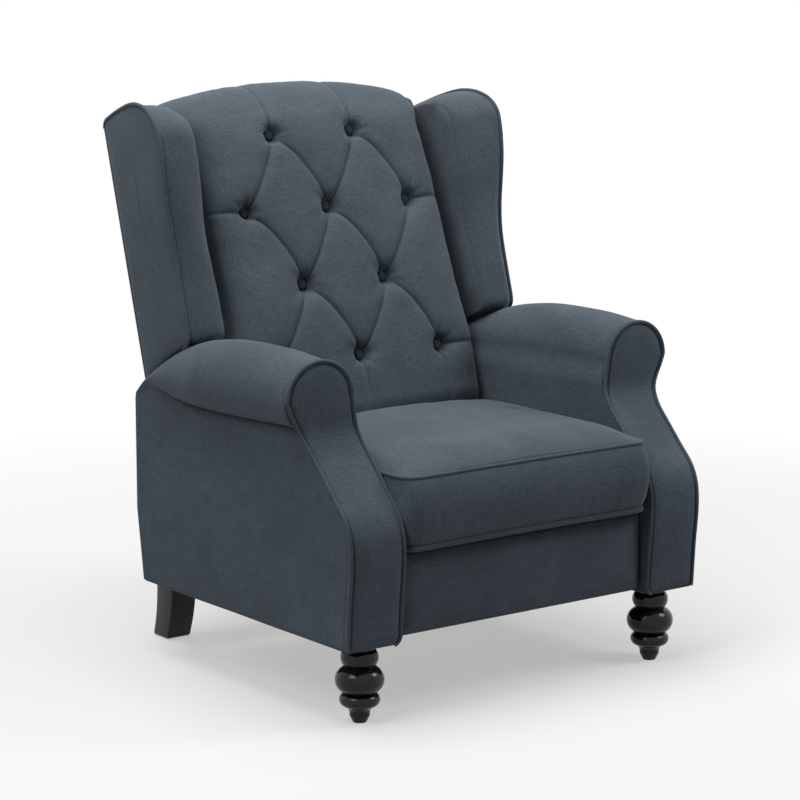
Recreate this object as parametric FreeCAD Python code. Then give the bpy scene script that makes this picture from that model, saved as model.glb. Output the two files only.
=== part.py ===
import FreeCAD, Part
import math
import os

# Push-back wing recliner, shown upright. Millimetres, +Z up, front towards -Y, right is +X.
# The origin is on the floor, under the middle of the chair's box.

Vector = FreeCAD.Vector

# Fits shared by all pieces
seat_gap = 0.3
overrun = 20.0

# Arms and base
base_width = 760.0
arm_thickness = 108.0
leg_height = 134.0
arm_rear_y = 266.0
arm_rear_tuck = 19.0
arm_tuck_z = 279.0
facing_depth = 8.0
welt_size = 4.0

# Front edge of an arm, seen from the side
toe_y = -385.0
shin_y = -390.0
shin_z = 215.0
knee_y = -396.0
knee_z = 288.0
thigh_y = -378.0
thigh_z = 357.0
neck_y = -283.0
neck_z = 457.0
collar_y = -269.0
collar_z = 478.0
scroll_y = -264.0
scroll_z = 505.0

# Rolled arm top: stations along the arm, from the front backwards
scroll_half_width = 66.0
scroll_overhang = 33.0
scroll_bulge = 7.0
scroll_drop = 66.0
arm_top_z = 603.0
arm_crest_z = 609.0
arm_crest_y = -150.0
arm_shoulder_y = 80.0
arm_shoulder_z = 588.0
arm_fall_y = 150.0
arm_fall_z = 562.0
arm_heel_y = 210.0
arm_heel_z = 527.0
arm_tail_z = 482.0
facing_corner = 15.0

# Wood inside an arm
frame_board = 18.0
frame_inset = 26.0
leg_block_length = 74.0
leg_block_height = 44.0
leg_block_width = 78.0

# Cross rails of the base
stretcher_width = 40.0
stretcher_height = 43.0
front_stretcher_y = -150.0
rear_stretcher_y = 62.0
apron_inset = 74.0
apron_depth = 52.0
apron_height = 116.0
apron_corner = 8.0

# Turned front legs: radii and heights of the turning
front_leg_inset = 57.4
front_leg_y = -338.0
glide_thickness = 2.5
glide_radius = 11.5
foot_radius = 13.0
ankle_radius = 17.5
ankle_z = 12.0
flare_radius = 27.0
flare_z = 28.0
ring_radius = 34.3
ring_z = 38.0
waist_radius = 26.0
waist_z = 50.5
ball_radius = 41.5
ball_z = 74.0
throat_radius = 25.0
throat_z = 96.0
collar_ring_radius = 32.0
collar_ring_z = 112.0
cap_radius = 26.0
cap_z = 126.0

# Curved rear legs, square in section
rear_leg_inset = 103.0
rear_leg_top_y = 293.0
rear_leg_top_depth = 54.0
rear_leg_top_width = 54.0
rear_leg_knee_y = 294.0
rear_leg_knee_z = 88.0
rear_leg_knee_depth = 53.0
rear_leg_shin_y = 301.0
rear_leg_shin_z = 40.0
rear_leg_shin_depth = 51.0
rear_leg_foot_y = 312.0
rear_leg_foot_depth = 49.0
rear_leg_foot_width = 50.0

# Bolts that hold the legs
leg_bolt_radius = 4.0
leg_bolt_length = 60.0

# Steel of the mechanism
plate_thickness = 3.0
plate_inset = 36.0
link_gap = 1.0
link_length = 158.5
link_width = 16.0
pin_radius = 4.0
pin_clearance = 0.3
open_pivot_clearance = 0.8
rivet_head_radius = 6.5
rivet_head_depth = 2.0
tongs_pivot_y = -226.0
tongs_pivot_z = 128.0
tongs_closed_deg = 78.0
tongs_open_deg = 8.0
tongs_lift_deg = 20.0
slot_steps = 12
plate_top_z = 292.0
plate_depth = 66.0
plate_nose_length = 50.0
plate_nose_lead = 16.0
plate_toe = 12.0

# Slide of the seat on the base
slide_travel = 40.0
slide_pin_radius = 6.0
slide_pin_head_radius = 9.0
slide_pin_z = 250.0
slide_front_y = -100.0
slide_rear_y = 60.0
slide_clearance = 0.4
bracket_reach = 16.0
bracket_front_y = -180.0
bracket_top_z = 285.0

# Back pivot
pivot_y = 160.0
pivot_z = 270.0
pivot_radius = 5.0
pivot_ear_radius = 16.0
pivot_head_radius = 8.0
pivot_head_depth = 4.0

# Seat frame, springs and deck
rail_thickness = 20.0
cross_rail_thickness = 22.0
rail_height = 56.0
seat_frame_front_y = -334.0
seat_frame_rear_y = 50.0
spring_count = 5
spring_wire_radius = 1.8
spring_loop_radius = 9.0
spring_half_width = 17.0
spring_drop = 5.0
spring_margin = 60.0
clip_width = 20.0
clip_depth = 6.0
clip_height = 9.0
deck_inset = 10.0
deck_front_y = -380.0
deck_rear_y = 38.0
deck_thickness = 4.7

# Seat cushion
cushion_boxing = 116.0
cushion_crown = 29.0
cushion_inset = 10.0
cushion_front_y = -392.0
cushion_rear_y = 48.0
cushion_side_bulge = 7.0
cushion_front_bulge = 17.3
cushion_rear_bulge = 4.0
cushion_corner = 24.0
cushion_pull = 4.0
cushion_welt_radius = 2.5
round_corners = 2
crown_rise_share = 0.6
crown_inner_share = 0.30
crown_outer_share = 0.07

# Leaning back: local frame on the plane of the outside back
back_lean_deg = 16.0
back_foot_y = 200.9
back_foot_z = 235.0
outside_depth = 6.0
outside_start = 5.0
back_inset = 6.0
back_half_mid = 290.0
shoulder_rear = 263.0
shoulder_turn = 295.0
shoulder_turn_w = 72.0
shoulder_front = 313.0
back_side_top = 757.0
back_centre_top = 790.0
outside_top = 751.0
brow_rear_w = 12.0
outside_corner = 22.0
frame_depth = 34.0
post_width = 22.0
post_gap = 8.0
post_top = 750.0
back_rail_height = 50.0
back_rail_low = 8.0
top_rail_low = 700.0
strap_width = 50.0
strap_thickness = 2.0
strap_pitch = 120.0
cross_strap_count = 4
cross_strap_low = 150.0
back_bracket_top = 150.0
back_bracket_front = 30.0

# Tufted inner back: stations up the slope with their depth at the side and in the middle
cushion_low = 74.0
low_side_w = 112.0
low_front_w = 138.0
seat_line = 128.0
seat_side_w = 150.0
seat_front_w = 181.0
bulge_line = 170.0
bulge_side_w = 158.0
bulge_front_w = 194.0
split_line = 316.0
split_side_w = 156.0
split_front_w = 192.0
middle_line = 464.0
middle_side_w = 143.0
middle_front_w = 179.0
upper_line = 600.0
upper_side_w = 131.0
upper_front_w = 165.0
crest_line = 712.0
crest_side_w = 108.0
crest_front_w = 146.0
brow_line = 768.0
brow_side_w = 74.0
brow_front_w = 108.0
button_radius = 9.5
button_depth = 6.0
tuft_top = 674.0
tuft_row_pitch = 140.0
tuft_half_pitch = 90.0
tuft_top_w = 131.7
tuft_slope_share = 0.0954
tuft_clearance = 1.0
dimple_rise = 34.0
dimple_spread = 14.0
pleat_rise = 36.0
pleat_half_width = 15.0
pleat_lift = 6.0

# Wings
wing_gap = 1.0
wing_thickness = 59.0
wing_nose_share = 0.75
wing_flare_share = 0.107
wing_knee = 440.0
wing_brow = 620.0
wing_crown = 665.0
wing_outer_low_w = 188.0
wing_outer_high_w = 222.0
wing_outer_crest_w = 111.0
wing_outer_top = 750.0
wing_nose_low_w = 226.0
wing_nose_high_w = 233.0
wing_nose_crest_w = 118.0
wing_nose_top = 748.0
wing_inner_low_w = 190.0
wing_inner_high_w = 193.0
wing_inner_crest_w = 104.0
wing_inner_top = 730.0
wing_rear_drop = 5.0
wing_board = 15.0
wing_board_margin = 36.0

# Footrest panel
footrest_inset = 10.0
footrest_bottom_z = 142.0
footrest_height = 136.0
footrest_board_thickness = 15.0
footrest_pad_thickness = 25.0
footrest_rear_y = -339.0
footrest_crown = 6.0
footrest_corner = 12.0
footrest_flange = 18.0
footrest_flange_height = 90.0
footrest_flange_low = 40.0

# Worked out from the sizes above
half_base = base_width / 2
arm_inner = half_base - arm_thickness
arm_middle = half_base - arm_thickness / 2
front_leg_x = half_base - front_leg_inset
rear_leg_x = half_base - rear_leg_inset
apron_half_width = half_base - apron_inset
plate_x = arm_inner - plate_inset
bracket_x = plate_x + bracket_reach
post_x = plate_x - post_gap - post_width
back_half_low = arm_inner - back_inset
wing_inner = back_half_mid + wing_gap
wing_nose_x = wing_inner + wing_thickness * wing_nose_share
back_half_rear = wing_inner + wing_thickness
footrest_half_width = arm_inner - footrest_inset
cushion_half_width = arm_inner - cushion_inset
deck_half_width = cushion_half_width - deck_inset
cushion_bottom_z = plate_top_z + deck_thickness + seat_gap
layer_a = plate_x + plate_thickness + link_gap
layer_b = layer_a + plate_thickness + link_gap
arm_front_back = scroll_y + facing_depth
cushion_top_z = cushion_bottom_z + cushion_boxing
rail_x = plate_x - rail_thickness
rail_z = plate_top_z - rail_height
frame_front_w = outside_depth + frame_depth
bracket_foot_z = leg_height + stretcher_height


def box(x0, x1, y0, y1, z0, z1):
    """Box between two corners."""
    low = Vector(min(x0, x1), min(y0, y1), min(z0, z1))
    return Part.makeBox(abs(x1 - x0), abs(y1 - y0), abs(z1 - z0), low)


def wire(points):
    """Closed wire; a point given as a pair (middle, end) makes an arc."""
    edges = []
    last = points[0]
    for item in list(points[1:]) + [points[0]]:
        if isinstance(item, tuple):
            edges.append(Part.Arc(last, item[0], item[1]).toShape())
            last = item[1]
        else:
            if last.distanceToPoint(item) > 0:
                edges.append(Part.LineSegment(last, item).toShape())
            last = item
    return Part.Wire(edges)


def at_x(x):
    """Makes points of a side view at one X."""
    def point(y, z):
        return Vector(x, y, z)
    return point


def at_y(y):
    """Makes points of a front view at one Y."""
    def point(x, z):
        return Vector(x, y, z)
    return point


def slab(outline, direction):
    """Solid from a flat outline and a direction."""
    return Part.Face(outline).extrude(direction)


def mirrored(shape):
    """The same piece on the left side."""
    return shape.mirror(Vector(0, 0, 0), Vector(1, 0, 0))


def rod(x0, x1, y, z, radius):
    """Round bar along X."""
    return Part.makeCylinder(radius, x1 - x0, Vector(x0, y, z), Vector(1, 0, 0))


def joined(shapes):
    """One solid from touching solids."""
    return shapes[0].fuse(shapes[1:]).removeSplitter()


# Arms

def arm_front_edges(point, shift):
    """Front edge of an arm from its foot to its top, as wire points."""
    return [
        point(toe_y + shift, leg_height),
        point(shin_y + shift, shin_z),
        (point(knee_y + shift, knee_z), point(thigh_y + shift, thigh_z)),
        point(neck_y + shift, neck_z),
        (point(collar_y + shift, collar_z), point(scroll_y + shift, scroll_z)),
    ]


def front_strip(shift, depth):
    """Band that follows the arm's front edge, as wide as the arm."""
    side = at_x(arm_inner - overrun)
    top = arm_crest_z + overrun
    front = arm_front_edges(side, shift)
    back = arm_front_edges(side, shift + depth)
    front[0] = side(toe_y + shift, leg_height - overrun)
    back[0] = side(toe_y + shift + depth, leg_height - overrun)
    front.append(side(scroll_y + shift, top))
    back_points = [side(scroll_y + shift + depth, top)]
    back_points.append(back[4][1])
    back_points.append((back[4][0], back[3]))
    back_points.append(back[2][1])
    back_points.append((back[2][0], back[1]))
    back_points.append(back[0])
    width = arm_thickness + scroll_overhang + overrun + overrun
    return slab(wire(front + back_points), Vector(width, 0, 0))


def facing_outline():
    """Keyhole outline of the arm's front, in a plane ahead of the chair."""
    point = at_y(knee_y - overrun)
    scroll_x = half_base + scroll_overhang - scroll_half_width
    widest = arm_top_z - scroll_half_width
    diagonal = math.sqrt(0.5)
    corner_x = arm_inner + facing_corner * (1 - diagonal)
    corner_z = leg_height + facing_corner * (1 - diagonal)
    under_x = half_base + (scroll_overhang + scroll_bulge) / 2
    under_z = (neck_z + facing_corner + widest) / 2
    return wire([
        point(arm_inner + facing_corner, leg_height),
        point(half_base, leg_height),
        point(half_base, neck_z - facing_corner),
        point(half_base + welt_size, neck_z + facing_corner),
        (point(under_x, under_z), point(scroll_x + scroll_half_width, widest)),
        (point(scroll_x, arm_top_z - welt_size / 2), point(scroll_x - scroll_half_width, widest)),
        point(arm_inner, neck_z),
        point(arm_inner, leg_height + facing_corner),
        (point(corner_x, corner_z), point(arm_inner + facing_corner, leg_height)),
    ])


def arm_facing():
    """Padded facing on the front of an arm."""
    reach = Vector(0, scroll_y - knee_y + 2 * overrun, 0)
    return slab(facing_outline(), reach).common(front_strip(0, facing_depth))


def arm_welt():
    """Piping that runs round the facing."""
    face = Part.Face(facing_outline())
    ring = face.makeOffset2D(welt_size / 2).cut(face.makeOffset2D(-welt_size / 2))
    reach = Vector(0, scroll_y - knee_y + 2 * overrun, 0)
    return ring.extrude(reach).common(front_strip(-welt_size, welt_size))


def scroll_section(y, middle_x, half_width, top, bulge):
    """Section through the rolled arm top."""
    point = at_y(y)
    widest = top - half_width + welt_size / 2
    low = widest - scroll_drop
    right = middle_x + half_width
    under_x = (right + half_base) / 2 + bulge
    return wire([
        point(middle_x - half_width, widest),
        (point(middle_x, top), point(right, widest)),
        (point(under_x, (widest + low) / 2), point(half_base, low)),
        point(arm_inner, low),
    ])


def arm_cover():
    """Arm padding and cover: straight panel with the rolled top along it."""
    side = at_x(arm_inner)
    middle_x = half_base + scroll_overhang - scroll_half_width
    half_arm = arm_thickness / 2
    ease = scroll_half_width - half_arm
    centre_shift = middle_x - arm_middle
    stations = (
        (arm_front_back, middle_x, scroll_half_width, arm_top_z, scroll_bulge),
        (arm_crest_y, middle_x, scroll_half_width, arm_crest_z, scroll_bulge),
        (0, middle_x, scroll_half_width, arm_top_z, scroll_bulge),
        (arm_shoulder_y, middle_x - centre_shift / 4, half_arm + 3 * ease / 4, arm_shoulder_z, scroll_bulge / 2),
        (arm_fall_y, middle_x - centre_shift / 2, half_arm + ease / 2, arm_fall_z, scroll_bulge / 3),
        (arm_heel_y, middle_x - 3 * centre_shift / 4, half_arm + ease / 4, arm_heel_z, scroll_bulge / 4),
        (arm_rear_y, arm_middle, half_arm, arm_tail_z, scroll_bulge / 8),
    )
    roll = Part.makeLoft([scroll_section(*station) for station in stations], True, False)
    top_line = []
    for y, x, half_width, top, bulge in reversed(stations):
        top_line.append(side(y, top - half_width))
    front = arm_front_edges(side, facing_depth)
    rear = [
        side(arm_rear_y, arm_tuck_z),
        side(arm_rear_y - arm_rear_tuck, leg_height),
    ]
    outline = wire(front + top_line[::-1] + rear)
    panel = slab(outline, Vector(arm_thickness, 0, 0))
    return joined([panel, roll])


def arm_frame():
    """Wooden board inside an arm, with the block that takes the front leg."""
    side = at_x(arm_middle - frame_board / 2)
    low = leg_height
    top = arm_top_z - scroll_half_width
    board = slab(wire([
        side(shin_y + facing_depth + frame_inset, low),
        side(knee_y + facing_depth + frame_inset, knee_z),
        side(scroll_y + facing_depth + frame_inset, neck_z + frame_inset),
        side(scroll_y + facing_depth + frame_inset, top),
        side(arm_shoulder_y, top),
        side(arm_rear_y - frame_inset, arm_tail_z - frame_inset - scroll_half_width / 2),
        side(arm_rear_y - arm_rear_tuck - frame_inset, low),
    ]), Vector(frame_board, 0, 0))
    block = box(
        front_leg_x - leg_block_width / 2, front_leg_x + leg_block_width / 2,
        front_leg_y - leg_block_length / 2, front_leg_y + leg_block_length / 2,
        low, low + leg_block_height)
    return joined([board, block])


# Legs and base rails

def front_leg():
    """Turned leg, spun from its outline."""
    point = at_x(0)
    outline = wire([
        point(0, glide_thickness),
        point(foot_radius, glide_thickness),
        point(ankle_radius, ankle_z),
        (point((ankle_radius + flare_radius) / 2 - glide_thickness, (ankle_z + flare_z) / 2 + glide_thickness),
         point(flare_radius, flare_z)),
        (point(ring_radius, ring_z), point(waist_radius, waist_z)),
        (point(ball_radius, ball_z), point(throat_radius, throat_z)),
        (point(collar_ring_radius, collar_ring_z), point(cap_radius, cap_z)),
        point(cap_radius, leg_height),
        point(0, leg_height),
    ])
    leg = Part.Face(outline).revolve(Vector(0, 0, 0), Vector(0, 0, 1), 360)
    leg.translate(Vector(front_leg_x, front_leg_y, 0))
    return leg


def square_section(middle_y, depth, width, z):
    """Square section of a rear leg."""
    x0 = rear_leg_x - width / 2
    x1 = rear_leg_x + width / 2
    y0 = middle_y - depth / 2
    y1 = middle_y + depth / 2
    return wire([Vector(x0, y0, z), Vector(x1, y0, z), Vector(x1, y1, z), Vector(x0, y1, z)])


def rear_leg():
    """Curved leg that sweeps backwards to its foot."""
    knee_width = (rear_leg_top_width * 2 + rear_leg_foot_width) / 3
    shin_width = (rear_leg_top_width + rear_leg_foot_width * 2) / 3
    return Part.makeLoft([
        square_section(rear_leg_top_y, rear_leg_top_depth, rear_leg_top_width, leg_height),
        square_section(rear_leg_knee_y, rear_leg_knee_depth, knee_width, rear_leg_knee_z),
        square_section(rear_leg_shin_y, rear_leg_shin_depth, shin_width, rear_leg_shin_z),
        square_section(rear_leg_foot_y, rear_leg_foot_depth, rear_leg_foot_width, glide_thickness),
    ], True, False)


def leg_bolt(x, y):
    """Hanger bolt, half in the leg and half in the wood above it."""
    low = Vector(x, y, leg_height - leg_bolt_length / 2)
    return Part.makeCylinder(leg_bolt_radius, leg_bolt_length, low)


def glide(x, y):
    """Round glide under a foot."""
    return Part.makeCylinder(glide_radius, glide_thickness, Vector(x, y, 0))


def stretcher(y):
    """Cross rail between the arms."""
    return box(-arm_inner, arm_inner, y, y + stretcher_width, leg_height, leg_height + stretcher_height)


def rear_apron():
    """Covered rail on the arms' rear faces that carries the rear legs."""
    side = at_x(-apron_half_width)
    top = leg_height + apron_height
    slope = arm_rear_tuck / (arm_tuck_z - leg_height)
    rail = slab(wire([
        side(arm_rear_y - arm_rear_tuck, leg_height),
        side(arm_rear_y + apron_depth, leg_height),
        side(arm_rear_y + apron_depth, top),
        side(arm_rear_y - slope * (arm_tuck_z - top), top),
    ]), Vector(2 * apron_half_width, 0, 0))
    edges = []
    for edge in rail.Edges:
        centre = edge.CenterOfMass
        outer = abs(abs(centre.x) - apron_half_width) < seat_gap and centre.y > arm_rear_y + seat_gap
        upright = abs(centre.y - arm_rear_y - apron_depth) < seat_gap
        top = abs(centre.z - leg_height - apron_height) < seat_gap
        if upright and (outer or top):
            edges.append(edge)
    return rail.makeFillet(apron_corner, edges)


def slide_bracket():
    """Slotted steel angle on the stretchers, which carries the seat."""
    rear = rear_stretcher_y + stretcher_width
    web = box(bracket_x, bracket_x + plate_thickness, bracket_front_y, rear, bracket_foot_z, bracket_top_z)
    foot = box(bracket_x, arm_inner - seat_gap, bracket_front_y, rear,
               bracket_foot_z, bracket_foot_z + plate_thickness)
    bracket = joined([web, foot])
    hole = slide_pin_radius + slide_clearance
    for y in (slide_front_y, slide_rear_y):
        slot = box(bracket_x - overrun, bracket_x + overrun / 2, y - slide_travel, y,
                   slide_pin_z - hole, slide_pin_z + hole)
        front_end = rod(bracket_x - overrun, bracket_x + overrun / 2, y - slide_travel, slide_pin_z, hole)
        rear_end = rod(bracket_x - overrun, bracket_x + overrun / 2, y, slide_pin_z, hole)
        bracket = bracket.cut(joined([slot, front_end, rear_end]))
    return bracket


# Lazy tongs: every rising link lies at one angle and every falling link at another

def rising_deg(opening):
    """Angle of the rising links above the forward direction, for an opening from 0 to 1."""
    spread = tongs_closed_deg + (tongs_open_deg - tongs_closed_deg) * opening
    return spread + tongs_lift_deg * opening


def falling_deg(opening):
    """Angle of the falling links, for an opening from 0 to 1."""
    spread = tongs_closed_deg + (tongs_open_deg - tongs_closed_deg) * opening
    return tongs_lift_deg * opening - spread


def along(degrees, length):
    """Step in the side view: forward is -Y."""
    turn = math.radians(degrees)
    return Vector(0, -length * math.cos(turn), length * math.sin(turn))


def cell_start(index):
    """Lower rear pivot of a cell of the tongs, closed."""
    step = (along(rising_deg(0), link_length) + along(falling_deg(0), link_length)) * 0.5
    return Vector(0, tongs_pivot_y, tongs_pivot_z) + step * index


def cell_top(index):
    """Upper rear pivot of a cell of the tongs, closed."""
    rise = (along(rising_deg(0), link_length) - along(falling_deg(0), link_length)) * 0.5
    return cell_start(index) + rise


def link_bar(start, end, x):
    """Flat bar with round ends between two pivots."""
    run = end - start
    run.normalize()
    side = Vector(0, -run.z, run.y) * (link_width / 2)
    nose = run * (link_width / 2)
    lift = Vector(x, 0, 0)
    return slab(wire([
        start + side + lift,
        (start - nose + lift, start - side + lift),
        end - side + lift,
        (end + nose + lift, end + side + lift),
    ]), Vector(plate_thickness, 0, 0))


def rivet(point):
    """Rivet of a rising link, through the falling link beside it."""
    shaft = rod(layer_a + plate_thickness, layer_b + plate_thickness + seat_gap, point.y, point.z, pin_radius)
    head_x = layer_b + plate_thickness + seat_gap
    head = rod(head_x, head_x + rivet_head_depth, point.y, point.z, rivet_head_radius)
    return [shaft, head]


def pivot_hole(point, clearance):
    """Hole through a falling link."""
    return rod(layer_b - link_gap / 2, layer_b + plate_thickness + link_gap / 2, point.y, point.z,
               pin_radius + clearance)


def rising_link(index):
    """Rising link with rivets in its middle and at its top."""
    start = cell_start(index)
    end = cell_top(index + 1)
    parts = [link_bar(start, end, layer_a)]
    parts += rivet((start + end) * 0.5)
    parts += rivet(end)
    if index > 0:
        parts += rivet(start)
    link = joined(parts)
    if index == 0:
        bore = rod(layer_a - link_gap, layer_b, start.y, start.z, pin_radius + pin_clearance)
        link = link.cut(bore)
    return link


def falling_link(index):
    """Falling link with its pivot holes; the rear one carries the slot pin."""
    start = cell_top(index)
    end = cell_start(index + 1)
    link = link_bar(start, end, layer_b)
    link = link.cut(pivot_hole((start + end) * 0.5, pin_clearance))
    if index == 0:
        link = link.cut(pivot_hole(end, open_pivot_clearance))
        pin = rod(plate_x + seat_gap, layer_b, start.y, start.z, pin_radius)
        return joined([link, pin])
    link = link.cut(pivot_hole(end, pin_clearance))
    return link.cut(pivot_hole(start, pin_clearance))


def control_link():
    """Short link that turns the footrest bracket."""
    start = cell_start(2)
    end = (cell_start(2) + cell_top(3)) * 0.5
    return joined([link_bar(start, end, layer_a)] + rivet(start) + rivet(end))


def footrest_bracket():
    """Last falling link, with the flange that carries the footrest board."""
    start = cell_top(2)
    end = cell_start(3)
    low = tongs_pivot_z + footrest_flange_low
    high = low + footrest_flange_height
    run = end - start
    tip = start + run * ((start.z - low - link_width / 2) / (start.z - end.z))
    bar = link_bar(start, tip, layer_b)
    rear_high = start + run * ((start.z - high) / (start.z - end.z))
    rear_low = start + run * ((start.z - low) / (start.z - end.z))
    web = slab(wire([
        Vector(layer_b, rear_high.y, high),
        Vector(layer_b, footrest_rear_y, high),
        Vector(layer_b, footrest_rear_y, low),
        Vector(layer_b, rear_low.y, low),
    ]), Vector(plate_thickness, 0, 0))
    flange = box(layer_b, layer_b + footrest_flange, footrest_rear_y, footrest_rear_y + plate_thickness, low, high)
    bracket = joined([bar, web, flange])
    bracket = bracket.cut(pivot_hole(start, pin_clearance))
    return bracket.cut(pivot_hole((start + end) * 0.5, open_pivot_clearance))


def slot_cut():
    """Curved slot that the pin of the rear falling link runs in."""
    hole = pin_radius + open_pivot_clearance
    path = []
    for step in range(slot_steps + 1):
        opening = step / slot_steps
        rise = (along(rising_deg(opening), link_length) - along(falling_deg(opening), link_length)) * 0.5
        path.append(Vector(0, tongs_pivot_y, tongs_pivot_z) + rise)
    near = []
    far = []
    for step in range(slot_steps + 1):
        before = path[max(step - 1, 0)]
        after = path[min(step + 1, slot_steps)]
        run = after - before
        run.normalize()
        side = Vector(0, -run.z, run.y) * hole
        lift = Vector(plate_x - overrun, 0, 0)
        near.append(path[step] + side + lift)
        far.append(path[step] - side + lift)
    channel = slab(wire(near + far[::-1]), Vector(overrun + plate_thickness + overrun, 0, 0))
    ends = []
    for point in (path[0], path[-1]):
        ends.append(rod(plate_x - overrun, plate_x + plate_thickness + overrun, point.y, point.z, hole))
    return joined([channel] + ends)


def side_plate():
    """Steel plate on the seat frame: front nose for the tongs, rear ear for the back."""
    x1 = plate_x + plate_thickness
    nose_front = tongs_pivot_y - plate_nose_lead
    nose = box(plate_x, x1, nose_front, nose_front + plate_nose_length, tongs_pivot_z - plate_toe, plate_top_z)
    bar = box(plate_x, x1, nose_front, pivot_y, plate_top_z - plate_depth, plate_top_z)
    ear = rod(plate_x, x1, pivot_y, pivot_z, pivot_ear_radius)
    plate = joined([nose, bar, ear])
    plate = plate.cut(slot_cut())
    plate = plate.cut(rod(plate_x - overrun, x1 + overrun, tongs_pivot_y, tongs_pivot_z, pin_radius))
    plate = plate.cut(rod(plate_x - overrun, x1 + overrun, pivot_y, pivot_z, pivot_radius))
    for y in (slide_front_y, slide_rear_y):
        plate = plate.cut(rod(plate_x - overrun, x1 + overrun, y, slide_pin_z, slide_pin_radius))
    return plate


def plate_pins():
    """Shoulder pins in the side plates: tongs pivots, slide pins and back pivots."""
    pins = []
    link_out = layer_a + plate_thickness + seat_gap
    pins.append(joined([
        rod(plate_x - plate_thickness, plate_x, tongs_pivot_y, tongs_pivot_z, rivet_head_radius),
        rod(plate_x, link_out, tongs_pivot_y, tongs_pivot_z, pin_radius),
        rod(link_out, link_out + rivet_head_depth, tongs_pivot_y, tongs_pivot_z, rivet_head_radius),
    ]))
    head = bracket_x + plate_thickness + seat_gap
    for y in (slide_front_y, slide_rear_y):
        pins.append(joined([
            rod(plate_x, head, y, slide_pin_z, slide_pin_radius),
            rod(head, head + rivet_head_depth, y, slide_pin_z, slide_pin_head_radius),
        ]))
    outer = plate_x + plate_thickness
    post_outer = post_x + post_width
    shoulder = post_outer + plate_thickness + seat_gap
    inner = post_outer - seat_gap
    pins.append(joined([
        rod(inner - pivot_head_depth, inner, pivot_y, pivot_z, pivot_head_radius),
        rod(inner, outer, pivot_y, pivot_z, pivot_radius),
        rod(shoulder, plate_x, pivot_y, pivot_z, pivot_head_radius),
        rod(outer, outer + pivot_head_depth, pivot_y, pivot_z, pivot_head_radius),
    ]))
    return Part.makeCompound(pins + [mirrored(pin) for pin in pins])


# Seat

def seat_side_rail():
    """Side rail of the seat frame."""
    return box(rail_x, plate_x, seat_frame_front_y, seat_frame_rear_y, rail_z, plate_top_z)


def seat_cross_rail(y):
    """Front or rear rail of the seat frame."""
    return box(-rail_x, rail_x, y, y + cross_rail_thickness, rail_z, plate_top_z)


def spring_places():
    """Middles of the springs across the seat."""
    span = 2 * (rail_x - spring_margin)
    pitch = span / (spring_count - 1)
    return [spring_margin - rail_x + pitch * index for index in range(spring_count)]


def spring(middle):
    """Sinuous spring wire from the front clip to the rear clip."""
    z = plate_top_z - spring_drop
    start_y = seat_frame_front_y + cross_rail_thickness + clip_depth + spring_wire_radius
    end_y = seat_frame_rear_y - cross_rail_thickness - clip_depth - spring_wire_radius
    turns = int((end_y - start_y) / (2 * spring_loop_radius))
    radius = (end_y - start_y) / turns / 2
    half = spring_half_width
    edges = [Part.LineSegment(Vector(middle, start_y, z), Vector(middle + half, start_y, z)).toShape()]
    side = 1
    for turn in range(turns):
        y = start_y + 2 * radius * turn
        x = middle + side * half
        low = Vector(x, y, z)
        tip = Vector(x + side * radius, y + radius, z)
        high = Vector(x, y + 2 * radius, z)
        edges.append(Part.Arc(low, tip, high).toShape())
        reach = -side * half
        if turn == turns - 1:
            reach = 0
        edges.append(Part.LineSegment(high, Vector(middle + reach, high.y, z)).toShape())
        side = -side
    ring = Part.Wire([Part.makeCircle(spring_wire_radius, Vector(middle, start_y, z), Vector(1, 0, 0))])
    return Part.Wire(edges).makePipeShell([ring], True, False)


def seat_springs():
    """Springs with the clips that hold their ends."""
    clips = []
    z0 = plate_top_z - spring_drop - clip_height / 2
    front = seat_frame_front_y + cross_rail_thickness
    rear = seat_frame_rear_y - cross_rail_thickness
    for middle in spring_places():
        x0 = middle - clip_width / 2
        x1 = middle + clip_width / 2
        clips.append(box(x0, x1, front, front + clip_depth, z0, z0 + clip_height))
        clips.append(box(x0, x1, rear - clip_depth, rear, z0, z0 + clip_height))
    return Part.makeCompound([spring(middle) for middle in spring_places()] + clips)


def seat_deck():
    """Lined deck between the springs and the cushion."""
    return box(-deck_half_width, deck_half_width, deck_front_y, deck_rear_y,
               plate_top_z, plate_top_z + deck_thickness)


def cushion_outline(half_width, front, rear, corner, pull, z):
    """Rounded outline of the cushion with its long edges drawn in between the corners."""
    d = corner * (1 - math.sqrt(0.5))
    middle_y = (front + rear) / 2

    def point(x, y):
        return Vector(x, y, z)
    return wire([
        point(corner - half_width, front),
        (point(0, front + pull), point(half_width - corner, front)),
        (point(half_width - d, front + d), point(half_width, front + corner)),
        (point(half_width - pull / 2, middle_y), point(half_width, rear - corner)),
        (point(half_width - d, rear - d), point(half_width - corner, rear)),
        (point(0, rear - pull), point(corner - half_width, rear)),
        (point(d - half_width, rear - d), point(-half_width, rear - corner)),
        (point(pull / 2 - half_width, middle_y), point(-half_width, front + corner)),
        (point(d - half_width, front + d), point(corner - half_width, front)),
    ])


def seam_outline(z):
    """Outline of the cushion along one of its two piped seams."""
    return cushion_outline(cushion_half_width, cushion_front_y, cushion_rear_y, cushion_corner, cushion_pull, z)


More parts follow.
